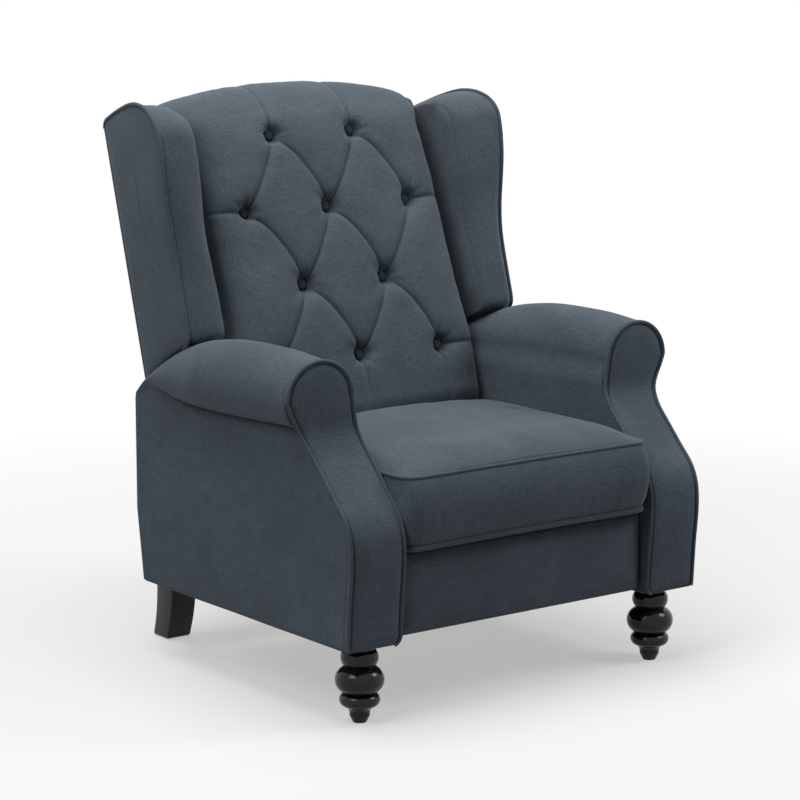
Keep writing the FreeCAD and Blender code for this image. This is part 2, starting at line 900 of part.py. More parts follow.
def seat_cushion():
    """Box cushion: bulging boxing between the seams and a crowned top."""
    middle_z = cushion_bottom_z + cushion_boxing / 2
    bulged = cushion_outline(
        cushion_half_width + cushion_side_bulge, cushion_front_y - cushion_front_bulge,
        cushion_rear_y + cushion_rear_bulge, cushion_corner + cushion_side_bulge, cushion_pull, middle_z)
    boxing = Part.makeLoft([seam_outline(cushion_bottom_z), bulged, seam_outline(cushion_top_z)], True, False)
    length = cushion_rear_y - cushion_front_y
    outer = crown_outer_share * length
    inner = crown_inner_share * length
    shoulder = cushion_outline(
        cushion_half_width - outer, cushion_front_y + outer, cushion_rear_y - outer,
        cushion_corner + outer, cushion_pull, cushion_top_z + cushion_crown * crown_rise_share)
    crest = cushion_outline(
        cushion_half_width - inner, cushion_front_y + inner, cushion_rear_y - inner,
        cushion_corner + outer, cushion_pull, cushion_top_z + cushion_crown)
    crown = Part.makeLoft([seam_outline(cushion_top_z), shoulder, crest], True, False)
    return joined([boxing, crown])


def seam_groove(z):
    """Channel in the cushion that its piping lies in."""
    room = cushion_welt_radius + seat_gap
    face = Part.Face(seam_outline(z - room))
    ring = face.makeOffset2D(room).cut(face.makeOffset2D(-room))
    return ring.extrude(Vector(0, 0, 2 * room))


def seat_welt(z):
    """Piping along one seam of the cushion."""
    start = Vector(0, cushion_front_y + cushion_pull, z)
    ring = Part.Wire([Part.makeCircle(cushion_welt_radius, start, Vector(1, 0, 0))])
    loop = seam_outline(z)
    edges = []
    for edge in loop.Edges:
        if edge.distToShape(Part.Vertex(start))[0] < seat_gap:
            middle = edge.Curve.parameter(start)
            edges.append(edge.Curve.toShape(edge.FirstParameter, middle))
            edges.append(edge.Curve.toShape(middle, edge.LastParameter))
        else:
            edges.append(edge)
    spine = Part.Wire(Part.__sortEdges__(edges))
    return spine.makePipeShell([ring], True, False, round_corners)


# Back, built upright in its own frame: w forward of the outside back, v up its slope

def leaning(shape):
    """Puts a piece of the back in its place."""
    placed = shape.copy()
    placed.rotate(Vector(0, 0, 0), Vector(1, 0, 0), -back_lean_deg)
    placed.translate(Vector(0, back_foot_y, back_foot_z))
    return placed


def back_box(x0, x1, w0, w1, v0, v1):
    """Box in the frame of the back."""
    return box(x0, x1, -w1, -w0, v0, v1)


def pivot_in_back():
    """Back pivot, as w and v in the frame of the back."""
    turn = math.radians(back_lean_deg)
    y = pivot_y - back_foot_y
    z = pivot_z - back_foot_z
    return z * math.sin(turn) - y * math.cos(turn), y * math.sin(turn) + z * math.cos(turn)


def back_post():
    """Upright of the back frame."""
    return back_box(post_x, post_x + post_width, outside_depth, frame_front_w, outside_start, post_top)


def back_rail(low):
    """Cross rail of the back frame."""
    return back_box(-post_x, post_x, outside_depth, frame_front_w, low, low + back_rail_height)


def back_webbing():
    """Straps across the frame and up it."""
    straps = []
    outer = post_x + post_width
    for index in range(cross_strap_count):
        v = cross_strap_low + strap_pitch * index
        straps.append(back_box(-outer, outer, frame_front_w, frame_front_w + strap_thickness, v, v + strap_width))
    low_w = frame_front_w + strap_thickness
    top = top_rail_low + back_rail_height
    for index in (-1, 0, 1):
        x = index * strap_pitch
        straps.append(back_box(x - strap_width / 2, x + strap_width / 2, low_w, low_w + strap_thickness,
                               back_rail_low, top))
    return Part.makeCompound(straps)


def back_bracket():
    """Steel bracket on a post, with the eye of the back pivot."""
    x0 = post_x + post_width
    x1 = x0 + plate_thickness
    w, v = pivot_in_back()
    blade = back_box(x0, x1, outside_depth + seat_gap, back_bracket_front, outside_start, back_bracket_top)
    eye = rod(x0, x1, -w, v, pivot_ear_radius)
    neck = back_box(x0, x1, back_bracket_front - overrun, w, v - pivot_ear_radius, v + pivot_ear_radius)
    bracket = joined([blade, neck, eye])
    return bracket.cut(rod(x0 - overrun, x1 + overrun, -w, v, pivot_radius + pin_clearance))


def outside_back():
    """Flat covered panel behind the frame, wider above the arms."""
    point = at_y(-outside_depth)
    d = outside_corner * (1 - math.sqrt(0.5))
    arch = back_centre_top - back_side_top
    half = back_half_rear
    low = back_half_low
    return slab(wire([
        point(-low, outside_start),
        point(low, outside_start),
        point(low, shoulder_rear),
        point(half, shoulder_rear),
        point(half, outside_top - outside_corner),
        (point(half - d, outside_top - d), point(half - outside_corner, outside_top)),
        (point(0, outside_top + arch / 6), point(outside_corner - half, outside_top)),
        (point(d - half, outside_top - d), point(-half, outside_top - outside_corner)),
        point(-half, shoulder_rear),
        point(-low, shoulder_rear),
    ]), Vector(0, outside_depth, 0))


def back_section(half_width, side_w, front_w, v, rear_w=outside_depth):
    """Section through the inner back, crowned towards the sitter."""
    rear = -rear_w
    return wire([
        Vector(-half_width, rear, v),
        Vector(-half_width, -side_w, v),
        (Vector(0, -front_w, v), Vector(half_width, -side_w, v)),
        Vector(half_width, rear, v),
    ])


def tuft_w(v):
    """Depth of the button plane at a height on the slope."""
    return tuft_top_w + (tuft_top - v) * tuft_slope_share


def tuft_points():
    """Buttons as x and v: rows of two and of three in turn."""
    points = []
    for row in range(4):
        v = tuft_top - tuft_row_pitch * row
        if row % 2 == 0:
            places = (-1, 1)
        else:
            places = (-2, 0, 2)
        for place in places:
            points.append((place * tuft_half_pitch, v))
    return points


def pleat_lines():
    """Pleats between neighbouring buttons, and from the outer buttons to the edges."""
    lines = []
    points = tuft_points()
    for x0, v0 in points:
        for x1, v1 in points:
            if abs(abs(x1 - x0) - tuft_half_pitch) < seat_gap and abs(v0 - v1 - tuft_row_pitch) < seat_gap:
                lines.append((x0, v0, x1, v1))
    edge = back_half_mid + overrun
    for x, v in points:
        if abs(x) > tuft_half_pitch + seat_gap:
            lines.append((x, v, math.copysign(edge, x), v))
        if v > tuft_top - seat_gap:
            lines.append((x, v, x, back_centre_top))
        if v < tuft_top - 2 * tuft_row_pitch - seat_gap:
            lines.append((x, v, x, cushion_low))
    return lines


def pleat_cut(x0, v0, x1, v1):
    """Wedge that sinks a pleat into the inner back."""
    run = Vector(x1 - x0, 0, v1 - v0)
    run.normalize()
    side = Vector(run.z, 0, -run.x) * pleat_half_width
    wires = []
    for x, v in ((x0, v0), (x1, v1)):
        root = Vector(x, -tuft_w(v) - pleat_lift, v)
        rise = Vector(0, -pleat_rise, 0)
        wires.append(wire([root, root + rise + side, root + rise - side]))
    return Part.makeLoft(wires, True, True)


def back_cushion():
    """Tufted inner back: narrow between the arms, wider between the wings."""
    cushion = Part.makeLoft([
        back_section(back_half_mid, low_side_w, low_front_w, cushion_low),
        back_section(back_half_mid, seat_side_w, seat_front_w, seat_line),
        back_section(back_half_mid, bulge_side_w, bulge_front_w, bulge_line),
        back_section(back_half_mid, split_side_w, split_front_w, split_line),
        back_section(back_half_mid, middle_side_w, middle_front_w, middle_line),
        back_section(back_half_mid, upper_side_w, upper_front_w, upper_line),
        back_section(back_half_mid, crest_side_w, crest_front_w, crest_line),
        back_section(back_half_mid, brow_side_w, brow_front_w, brow_line),
        back_section(back_half_mid, brow_side_w / 2, brow_front_w / 2, back_centre_top, brow_rear_w),
    ], True, False)
    for side in (1, -1):
        cushion = cushion.cut(back_box(side * back_half_low, side * (back_half_mid + overrun),
                                       0, bulge_front_w + overrun, 0, split_line))
    point = at_y(0)
    half = back_half_mid
    crown = slab(wire([
        point(-half - overrun, 0),
        point(half + overrun, 0),
        point(half + overrun, back_side_top - overrun),
        point(half, back_side_top),
        (point(0, back_centre_top - seat_gap), point(-half, back_side_top)),
        point(-half - overrun, back_side_top - overrun),
    ]), Vector(0, -bulge_front_w - overrun, 0))
    cushion = cushion.common(crown)
    inner_x = post_x + post_width + plate_thickness + seat_gap
    strap_front = frame_front_w + 2 * strap_thickness + seat_gap
    cushion = cushion.cut(back_box(-inner_x, inner_x, 0, strap_front, 0, post_top))
    cushion = cushion.cut(back_box(-half - overrun, half + overrun, -overrun, outside_depth, 0, back_centre_top))
    cuts = [pleat_cut(*line) for line in pleat_lines()]
    for x, v in tuft_points():
        base = Vector(x, -tuft_w(v), v)
        cuts.append(Part.makeCone(button_radius + tuft_clearance, button_radius + dimple_spread,
                                  dimple_rise + overrun, base, Vector(0, -1, 0)))
    for cut in cuts:
        cushion = cushion.cut(cut)
    return cushion


def back_buttons():
    """Covered buttons, domed, each on the floor of its dimple."""
    buttons = []
    for x, v in tuft_points():
        base = Vector(x, -tuft_w(v), v)
        button = Part.makeCylinder(button_radius, button_depth, base, Vector(0, -1, 0))
        rim = []
        for edge in button.Edges:
            if abs(edge.CenterOfMass.y - base.y + button_depth) < seat_gap:
                rim.append(edge)
        buttons.append(button.makeFillet(button_depth / 2, rim))
    return Part.makeCompound(buttons)


def wing_outline(place, low_w, high_w, crest_w, top):
    """Side outline of a wing; place gives X at a depth w."""
    def point(w, v):
        return Vector(place(w), -w, v)
    rear = outside_depth
    turn_w = crest_w + (high_w - crest_w) * math.sqrt(0.5)
    turn_v = wing_crown + (top - wing_crown) * math.sqrt(0.5)
    return wire([
        point(rear, shoulder_rear),
        point(shoulder_turn_w, shoulder_turn),
        point(low_w, shoulder_front),
        point(low_w, wing_knee),
        point(high_w, wing_brow),
        point(high_w, wing_crown),
        (point(turn_w, turn_v), point(crest_w, top)),
        point(rear, top - wing_rear_drop),
    ])


def wing_outer_x(w):
    """Outer face of a wing, which flares forwards."""
    return back_half_rear + wing_flare_share * w


def wing_outer_outline():
    """Outline of the flat outside of a wing."""
    return wing_outline(wing_outer_x, wing_outer_low_w, wing_outer_high_w, wing_outer_crest_w, wing_outer_top)


def wing_frame():
    """Board that stiffens a wing."""
    margin = wing_board_margin
    point = at_x(wing_inner)
    return slab(wire([
        point(-outside_depth - margin, shoulder_front + margin),
        point(-wing_inner_low_w + margin, shoulder_front + margin),
        point(-wing_inner_high_w + margin, wing_brow),
        point(-wing_inner_crest_w + margin / 2, wing_inner_top - margin),
        point(-outside_depth - margin, wing_inner_top - margin),
    ]), Vector(wing_board, 0, 0))


def wing_pad():
    """Padded wing: flat outside, full nose and inner face."""
    pad = Part.makeLoft([
        wing_outer_outline(),
        wing_outline(lambda w: wing_nose_x, wing_nose_low_w, wing_nose_high_w, wing_nose_crest_w, wing_nose_top),
        wing_outline(lambda w: wing_inner, wing_inner_low_w, wing_inner_high_w, wing_inner_crest_w, wing_inner_top),
    ], True, False)
    return pad.cut(wing_frame())


def wing_welt():
    """Piping along the front and top edges of the outside of a wing."""
    face = Part.Face(wing_outer_outline())
    ring = face.makeOffset2D(welt_size / 2).cut(face.makeOffset2D(-welt_size / 2))
    normal = Vector(1, wing_flare_share, 0)
    normal.normalize()
    band = ring.extrude(normal * welt_size)
    keep = box(back_half_rear - overrun, back_half_rear + 3 * overrun,
               -wing_outer_high_w - overrun, -outside_depth, shoulder_front + welt_size, wing_outer_top + overrun)
    inner_edge = back_box(back_half_rear - overrun, back_half_rear + 3 * overrun,
                          0, outside_depth + welt_size, 0, wing_outer_top - 3 * wing_rear_drop)
    return band.common(keep).cut(inner_edge)


# Footrest

def footrest_board():
    """Plywood board behind the footrest pad."""
    half = footrest_half_width - plate_thickness
    return box(-half, half, footrest_rear_y - footrest_board_thickness, footrest_rear_y,
               footrest_bottom_z, footrest_bottom_z + footrest_height)


def panel_section(inset, y):
    """Rounded section of the footrest pad."""
    x = footrest_half_width - inset
    z0 = footrest_bottom_z + inset
    z1 = footrest_bottom_z + footrest_height - inset
    r = footrest_corner
    d = r * (1 - math.sqrt(0.5))
    point = at_y(y)
    return wire([
        point(r - x, z0),
        point(x - r, z0),
        (point(x - d, z0 + d), point(x, z0 + r)),
        point(x, z1 - r),
        (point(x - d, z1 - d), point(x - r, z1)),
        point(r - x, z1),
        (point(d - x, z1 - d), point(-x, z1 - r)),
        point(-x, z0 + r),
        (point(d - x, z0 + d), point(r - x, z0)),
    ])


def footrest_pad():
    """Padded face of the footrest, softly rounded at its rim."""
    rear = footrest_rear_y - footrest_board_thickness
    front = rear - footrest_pad_thickness
    return Part.makeLoft([
        panel_section(0, rear),
        panel_section(footrest_crown / 6, front + footrest_crown * 2),
        panel_section(footrest_crown * 2, front),
    ], True, False)


def pieces():
    """Builds every piece, by name."""
    nodes = {}

    def pair(name, shape):
        nodes[name + "_right"] = shape
        nodes[name + "_left"] = mirrored(shape)

    bolts = []
    glides = []
    for side in (1, -1):
        for x, y in ((front_leg_x, front_leg_y), (rear_leg_x, rear_leg_top_y)):
            bolts.append(leg_bolt(side * x, y))
        for x, y in ((front_leg_x, front_leg_y), (rear_leg_x, rear_leg_foot_y)):
            glides.append(glide(side * x, y))
    all_bolts = Part.makeCompound(bolts)

    frame = arm_frame().cut(leg_bolt(front_leg_x, front_leg_y))
    pair("arm_frame", frame)
    pair("arm_cover", arm_cover().cut(arm_frame()))
    pair("arm_front_panel", arm_facing())
    pair("arm_welt", arm_welt())
    pair("front_leg", front_leg().cut(leg_bolt(front_leg_x, front_leg_y)))
    pair("rear_leg", rear_leg().cut(leg_bolt(rear_leg_x, rear_leg_top_y)))
    nodes["leg_bolts"] = all_bolts
    nodes["leg_glides"] = Part.makeCompound(glides)
    nodes["front_stretcher"] = stretcher(front_stretcher_y)
    nodes["rear_stretcher"] = stretcher(rear_stretcher_y)
    nodes["rear_apron"] = rear_apron().cut(all_bolts)
    pair("slide_bracket", slide_bracket())

    pair("side_plate", side_plate())
    pair("seat_side_rail", seat_side_rail())
    nodes["seat_front_rail"] = seat_cross_rail(seat_frame_front_y)
    nodes["seat_rear_rail"] = seat_cross_rail(seat_frame_rear_y - cross_rail_thickness)
    nodes["seat_springs"] = seat_springs()
    nodes["seat_deck"] = seat_deck()
    seams = (cushion_bottom_z, cushion_top_z)
    welts = [seat_welt(z) for z in seams]
    grooves = [seam_groove(z) for z in seams]
    nodes["seat_cushion"] = seat_cushion().cut(grooves)
    nodes["seat_welts"] = Part.makeCompound(welts)
    nodes["plate_pins"] = plate_pins()

    pair("back_post", leaning(back_post()))
    nodes["back_top_rail"] = leaning(back_rail(top_rail_low))
    nodes["back_bottom_rail"] = leaning(back_rail(back_rail_low))
    nodes["back_webbing"] = leaning(back_webbing())
    nodes["back_cushion"] = leaning(back_cushion())
    nodes["back_buttons"] = leaning(back_buttons())
    pair("wing_frame", leaning(wing_frame()))
    pair("wing_pad", leaning(wing_pad()))
    pair("wing_welt", leaning(wing_welt()))
    nodes["outside_back"] = leaning(outside_back())
    pair("back_bracket", leaning(back_bracket()))

    pair("tongs_rear_rising", rising_link(0))
    pair("tongs_rear_falling", falling_link(0))
    pair("tongs_front_rising", rising_link(1))
    pair("tongs_front_falling", falling_link(1))
    pair("tongs_control", control_link())
    pair("footrest_bracket", footrest_bracket())
    nodes["footrest_board"] = footrest_board()
    nodes["footrest_pad"] = footrest_pad()
    return nodes


os.makedirs("parts", exist_ok=True)
for name, shape in pieces().items():
    shape.exportStep("parts/" + name + ".step")
    print(name, len(shape.Solids), shape.isValid(), round(shape.Volume))
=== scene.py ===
import math

import bmesh
import bpy
import numpy as np
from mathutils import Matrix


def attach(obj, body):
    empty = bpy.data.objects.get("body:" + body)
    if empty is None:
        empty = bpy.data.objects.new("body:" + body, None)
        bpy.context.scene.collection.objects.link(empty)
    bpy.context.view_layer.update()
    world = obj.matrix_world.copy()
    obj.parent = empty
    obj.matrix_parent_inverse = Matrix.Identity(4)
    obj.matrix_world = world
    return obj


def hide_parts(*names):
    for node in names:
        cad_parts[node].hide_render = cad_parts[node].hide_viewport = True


# Looks of the push-back wing recliner. Lengths in the shape code are millimetres.

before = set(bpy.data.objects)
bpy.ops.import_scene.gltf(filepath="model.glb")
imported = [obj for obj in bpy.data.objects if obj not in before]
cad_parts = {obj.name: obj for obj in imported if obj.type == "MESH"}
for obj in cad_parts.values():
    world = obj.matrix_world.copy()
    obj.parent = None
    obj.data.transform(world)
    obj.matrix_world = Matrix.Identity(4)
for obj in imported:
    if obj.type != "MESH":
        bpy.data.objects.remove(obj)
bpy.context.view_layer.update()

MM = 0.001
SHARP_DEG = 60.0
FINE = 2.1

# Arms
ARM_INNER = 272.0
ARM_OUTER = 380.0
ARM_FOOT = 134.0
ARM_REAR = 266.0
ARM_TUCK = 247.0
ARM_TUCK_Z = 279.0
ARM_HEM = 4.0
ARM_END = 9.0
ARM_BEHIND_HEAD = -256.0
ARM_PIPING = 3.1
ARM_PIPING_SINK = 1.2
FACING_DEPTH = 8.0
FACING_GAP = 0.6
FACING_PUFF = 6.5
FACING_RIM = 2.5
FACING_SLACK = 0.2
FACING_TOE = 14.0
FACING_CORNER = 16.0
FACING_HEEL = 8.0
ROLL_FRONT = -264.0
ROLL_MIDDLE = 347.0
ROLL_HALF = 66.0
ROLL_OUTER = ROLL_MIDDLE + ROLL_HALF
ROLL_INNER = ROLL_MIDDLE - ROLL_HALF
ROLL_WIDEST = 537.0
ROLL_TOP = 601.0
ROLL_SHARE = 0.42

# Leaning back
LEAN = math.radians(16.0)
BACK_FOOT_Y = 200.9
BACK_FOOT_Z = 235.0
BACK_HALF = 290.0
BACK_HALF_LOW = 266.0
BACK_LOW = 70.0
BACK_REAR = 8.0
SHOULDER_V = 312.0
SIDE_ROLL = 80.0
BUTTON_TOP_V = 674.0
BUTTON_ROW = 140.0
BUTTON_HALF = 90.0
BUTTON_RADIUS = 10.0
BUTTON_PLANE_W = 131.7
BUTTON_PLANE_SLOPE = 0.0954
PILLOW_RISE = 28.0
PILLOW_PROUD = 4.0
PLEAT_BOW = 11.0
PLEAT_BOW_SMALL = 5.0
POCKET_REACH = 15.0
REAR_COVER_DEPTH = 6.0

# Wings
WING_INNER = 291.0
WING_NOSE = 335.0
WING_OUTER = 350.0
WING_FLARE = 0.107
WING_FOOT = 258.0
WING_CROWN = 665.0
WING_TOP = 745.0
WING_LOW_W = 188.0
WING_HIGH_W = 222.0
WING_CREST_W = 111.0
WING_LIFT = {"left": 1.0, "right": -9.0}
WING_SPINE = ((95.0, 370.0), (110.0, 668.0))
WING_PIPING = 3.4
WING_PIPING_OUT = 1.2
FOOT_COUNT = 80
FRONT_COUNT = 250
EDGE_COUNT = 60
CORNER_COUNT = 12

# Seat
SEAT_HALF = 262.0
SEAT_FRONT = -392.0
SEAT_REAR = 48.0
SEAT_LOW = 297.0
SEAT_HIGH = 413.0
SEAT_CROWN = 36.0
SEAT_CROWN_FALL = 15.0
SEAT_CORNER = 27.0
SEAT_SWELL_SIDE = 6.5
SEAT_SWELL_FRONT = 17.0
SEAT_SWELL_REAR = 4.0
SEAT_HEART = 95.0
SEAT_PIPING_LOW = 5.4
SEAT_PIPING_HIGH = 3.0
SEAT_PIPING_DROP = 3.0
DECK_HALF = 250.0
DECK_FRONT = -379.0
DECK_REAR = 37.0
DECK_Z = 292.2
DECK_THICKNESS = 3.6

# Footrest
FOOTREST_HALF = 266.0
FOOTREST_LOW = 142.0
FOOTREST_HIGH = 285.0
FOOTREST_CORNER = 12.0
FOOTREST_BACK = -354.0
FOOTREST_THICKNESS = 20.0
FOOTREST_RIM = 11.0

# Rear
APRON_HALF = 306.0
APRON_TOP = 250.0
APRON_EASE = 14.0
APRON_REAR = 318.0
APRON_DEPTH = 60.0
APRON_GAP = 0.4
LEG_X = 277.0
LEG_FOOT = 2.5
LEG_ROUND = 3.0
LEG_TRIM = 2.0

# Camera, in metres and radians
CAMERA_LENS = 130.74
CAMERA_PLACE = (-3.0784, -4.1002, 1.4091)
CAMERA_DOWN = 0.1833
CAMERA_TURN = 0.6466


# Curves and numbers

def smooth(knots, values, at):
    """Smooth curve through values at knots, with no overshoot."""
    k = np.asarray(knots, float)
    v = np.asarray(values, float)
    flat = v.ndim == 1
    if flat:
        v = v[:, None]
    step = np.diff(k)
    slope = np.diff(v, axis=0) / step[:, None]
    tangent = np.empty_like(v)
    tangent[0] = slope[0]
    tangent[-1] = slope[-1]
    wide = (step[:-1] + step[1:])[:, None]
    tangent[1:-1] = (slope[:-1] * step[1:, None] + slope[1:] * step[:-1, None]) / wide
    turning = slope[:-1] * slope[1:] <= 0
    tangent[1:-1][turning] = 0
    t = np.clip(np.asarray(at, float), k[0], k[-1])
    i = np.clip(np.searchsorted(k, t, side="right") - 1, 0, len(step) - 1)
    h = step[i]
    s = ((t - k[i]) / h)[..., None]
    h = h[..., None]
    low = (1 + 2 * s) * (1 - s) ** 2 * v[i] + s * (1 - s) ** 2 * h * tangent[i]
    high = s * s * (3 - 2 * s) * v[i + 1] + s * s * (s - 1) * h * tangent[i + 1]
    out = low + high
    return out[..., 0] if flat else out


def lengths(points, closed=False):
    """Distance run along a line at each of its points."""
    p = np.asarray(points, float)
    if closed:
        p = np.vstack([p, p[:1]])
    return np.concatenate([[0], np.cumsum(np.linalg.norm(np.diff(p, axis=0), axis=1))])


def even(points, count, closed=False):
    """The same line with evenly spaced points."""
    p = np.asarray(points, float)
    run = lengths(p, closed)
    at = np.linspace(0, run[-1], count, endpoint=not closed)
    if closed:
        p = np.vstack([p, p[:1]])
    return np.stack([np.interp(at, run, p[:, i]) for i in range(p.shape[1])], axis=1)


def quarter(count):
    """Angles from 0 to a right angle."""
    return np.linspace(0, math.pi / 2, count)


def flowing(knots, count):
    """Evenly spaced points on a smooth line through a few knots."""
    run = lengths(knots)
    fine = smooth(run, knots, np.linspace(0, run[-1], 8 * count))
    return even(fine, count)


def ease(t):
    """Soft step from 0 to 1."""
    t = np.clip(t, 0, 1)
    return t * t * (3 - 2 * t)


def ripple(p, size, seed):
    """Soft uneven wave from -1 to 1 over points, about size apart."""
    draw = np.random.default_rng(seed)
    total = 0
    for _ in range(7):
        way = draw.normal(size=p.shape[-1])
        way *= draw.uniform(0.6, 1.5) / np.linalg.norm(way)
        total = total + np.sin(p @ way * (2 * math.pi / size) + draw.uniform(0, 2 * math.pi))
    return total / 4.0


def leaning(x, w, v):
    """Point of the back, w forward of its rear plane and v up its slope, in the part's frame."""
    y = BACK_FOOT_Y + math.sin(LEAN) * v - math.cos(LEAN) * w
    z = BACK_FOOT_Z + math.cos(LEAN) * v + math.sin(LEAN) * w
    return np.stack(np.broadcast_arrays(x, y, z), axis=-1)


# Meshes

def quads(rows, cols, wrap):
    """Faces of a grid of points."""
    r = np.arange(rows - 1)[:, None]
    c = np.arange(cols if wrap else cols - 1)[None, :]
    a = r * cols + c
    b = r * cols + (c + 1) % cols
    return np.stack([a, b, b + cols, a + cols], axis=-1).reshape(-1, 4).tolist()


def ladder(start, count):
    """Faces across a closed ring, between its two halves."""
    end = start + count - 1
    return [[start + i, start + i + 1, end - 1 - i, end - i] for i in range(count // 2 - 1)]


def shell(rings, first="face", last="face"):
    """Closed skin through rings of points: its points and faces."""
    rings = np.asarray(rings, float)
    rows, cols = rings.shape[:2]
    points = rings.reshape(-1, 3)
    faces = quads(rows, cols, True)
    for kind, start in ((first, 0), (last, (rows - 1) * cols)):
        ring = list(range(start, start + cols))
        if kind == "face":
            faces.append(ring)
        elif kind == "ladder":
            faces += ladder(start, cols)
        elif kind == "fan":
            centre = points[start:start + cols].mean(axis=0)
            points = np.vstack([points, centre])
            hub = len(points) - 1
            faces += [[ring[i], ring[(i + 1) % cols], hub] for i in range(cols)]
    return points, faces


def merged(parts):
    """Several skins as one."""
    points = []
    faces = []
    total = 0
    for p, f in parts:
        points.append(p)
        faces += [[i + total for i in face] for face in f]
        total += len(p)
    return np.vstack(points), faces


def flipped(skin):
    """The same skin on the left side."""
    points, faces = skin
    return points * np.array([-1.0, 1.0, 1.0]), faces


def placed(name, data):
    """New object in the scene."""
    made = bpy.data.objects.new(name, data)
    bpy.context.scene.collection.objects.link(made)
    return made


def piece(name, skin, body, slot, replaced=(), cloth=None):
    """Object from a skin, riding on a body and standing for CAD nodes."""
    points, faces = skin
    mesh = bpy.data.meshes.new(name)
    mesh.from_pydata((points * MM).tolist(), [], faces)
    work = bmesh.new()
    work.from_mesh(mesh)
    bmesh.ops.remove_doubles(work, verts=work.verts, dist=MM / 100)
    bmesh.ops.recalc_face_normals(work, faces=work.faces)
    work.to_mesh(mesh)
    work.free()
    mesh.shade_smooth()
    mesh.set_sharp_from_angle(angle=math.radians(SHARP_DEG))
    obj = placed(name, mesh)
    mesh.materials.append(MATERIALS[cloth or slot])
    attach(obj, body)
    if replaced:
        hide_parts(*replaced)
    return obj


def tube(path, radius, up, closed=False, sides=12):
    """Round cord along a line, with a slight unevenness of gathered cloth."""
    path = np.asarray(path, float)
    if closed:
        tangent = np.roll(path, -1, axis=0) - np.roll(path, 1, axis=0)
    else:
        tangent = np.gradient(path, axis=0)
    tangent /= np.linalg.norm(tangent, axis=1)[:, None]
    up = np.broadcast_to(np.asarray(up, float), path.shape)
    across = up - (up * tangent).sum(axis=1)[:, None] * tangent
    across /= np.linalg.norm(across, axis=1)[:, None]
    other = np.cross(tangent, across)
    turn = np.arange(sides) * 2 * math.pi / sides
    run = lengths(path)[:len(path)]
    twist = 1 + 0.05 * np.sin(run[:, None] * 0.9 + 2 * turn[None, :])
    ring = np.cos(turn)[:, None] * across[:, None, :] + np.sin(turn)[:, None] * other[:, None, :]
    rings = path[:, None, :] + radius * twist[:, :, None] * ring
    if closed:
        rings = np.concatenate([rings, rings[:1]])
        return shell(rings, first=None, last=None)
    return shell(rings)


def inward(outline, amount):
    """Flat closed outline moved inwards."""
    side = np.roll(outline, -1, axis=0) - np.roll(outline, 1, axis=0)
    side /= np.linalg.norm(side, axis=1)[:, None]
    area = np.sum(outline[:, 0] * np.roll(outline[:, 1], -1) - np.roll(outline[:, 0], -1) * outline[:, 1])
    normal = np.stack([-side[:, 1], side[:, 0]], axis=1) * math.copysign(1, area)
    return outline + normal * amount


def rounded_box(half, low, high, r, count):
    """Box outline about the middle plane, with so many points on each round corner."""
    turn = quarter(count)
    line = []
    for number, (side, v) in enumerate(((1, low + r), (1, high - r), (-1, high - r), (-1, low + r))):
        angle = turn + (number - 1) * math.pi / 2
        line.append(np.stack([side * (half - r) + r * np.cos(angle), v + r * np.sin(angle)], axis=1))
    return np.vstack(line)


def level(line, z):
    """Flat line laid at a height."""
    return np.column_stack([line, np.full(len(line), z)])


def nearest(points, a, b):
    """Nearest points on the stretch between a and b."""
    a = np.asarray(a, float)
    run = np.asarray(b, float) - a
    t = np.clip((points - a) @ run / (run @ run), 0, 1)
    return a + t[:, None] * run


def plate(outline, spine, depth, rim, puff, place, steps=16):
    """Padded panel: flat behind, rounded at its rim, full in the middle of its front."""
    rings = []
    for height in (0.0, (depth - rim) * 0.5, depth - rim):
        rings.append(place(outline, np.full(len(outline), height)))
    for turn in quarter(6)[1:]:
        line = inward(outline, rim * (1 - math.cos(turn)))
        rings.append(place(line, np.full(len(outline), depth - rim + rim * math.sin(turn))))
    hearts = nearest(line, *spine)
    reach = np.linalg.norm(line - hearts, axis=1)
    for step in range(1, steps + 1):
        share = step / steps * 0.96
        inner = line + (hearts - line) * share
        rise = puff * (1 - np.exp(-reach * share / 16.0))
        rings.append(place(inner, depth + rise))
    return shell(rings)


# Cloth

def feed(tree, made, key, value):
    """Gives an input of a shader node its value or its link."""
    if isinstance(value, bpy.types.NodeSocket):
        tree.links.new(value, made.inputs[key])
    else:
        made.inputs[key].default_value = value


def node(tree, kind, **settings):
    """Shader node with its settings, and its inputs after in_."""
    made = tree.nodes.new(kind)
    for key, value in settings.items():
        if key.startswith("in_"):
            feed(tree, made, key[3:].replace("_", " "), value)
        else:
            setattr(made, key, value)
    return made


def own_place(tree):
    """Coordinates of the object itself."""
    return node(tree, "ShaderNodeTexCoord").outputs["Object"]


def material(name, color, roughness, metallic=0.0, specular=0.5):
    """Material with its main shader set."""
    made = bpy.data.materials.new(name)
    made.use_nodes = True
    tree = made.node_tree
    shader = tree.nodes["Principled BSDF"]
    feed(tree, shader, "Base Color", (*color, 1))
    feed(tree, shader, "Roughness", roughness)
    feed(tree, shader, "Metallic", metallic)
    feed(tree, shader, "Specular IOR Level", specular)
    return made, tree, shader


def stretched_noise(tree, scale, detail=3.0, roughness=0.6):
    """Noise over the object's own coordinates, with a scale for each axis."""
    scaled = node(tree, "ShaderNodeVectorMath", operation="MULTIPLY")
    feed(tree, scaled, 0, own_place(tree))
    feed(tree, scaled, 1, scale)
    noise = node(tree, "ShaderNodeTexNoise", in_Vector=scaled.outputs[0],
                 in_Scale=1.0, in_Detail=detail, in_Roughness=roughness)
    return noise.outputs["Fac"]


def maths(tree, operation, a, b):
    """Sum, product or the like of two values or sockets."""
    made = node(tree, "ShaderNodeMath", operation=operation)
    feed(tree, made, 0, a)
    feed(tree, made, 1, b)
    return made.outputs[0]


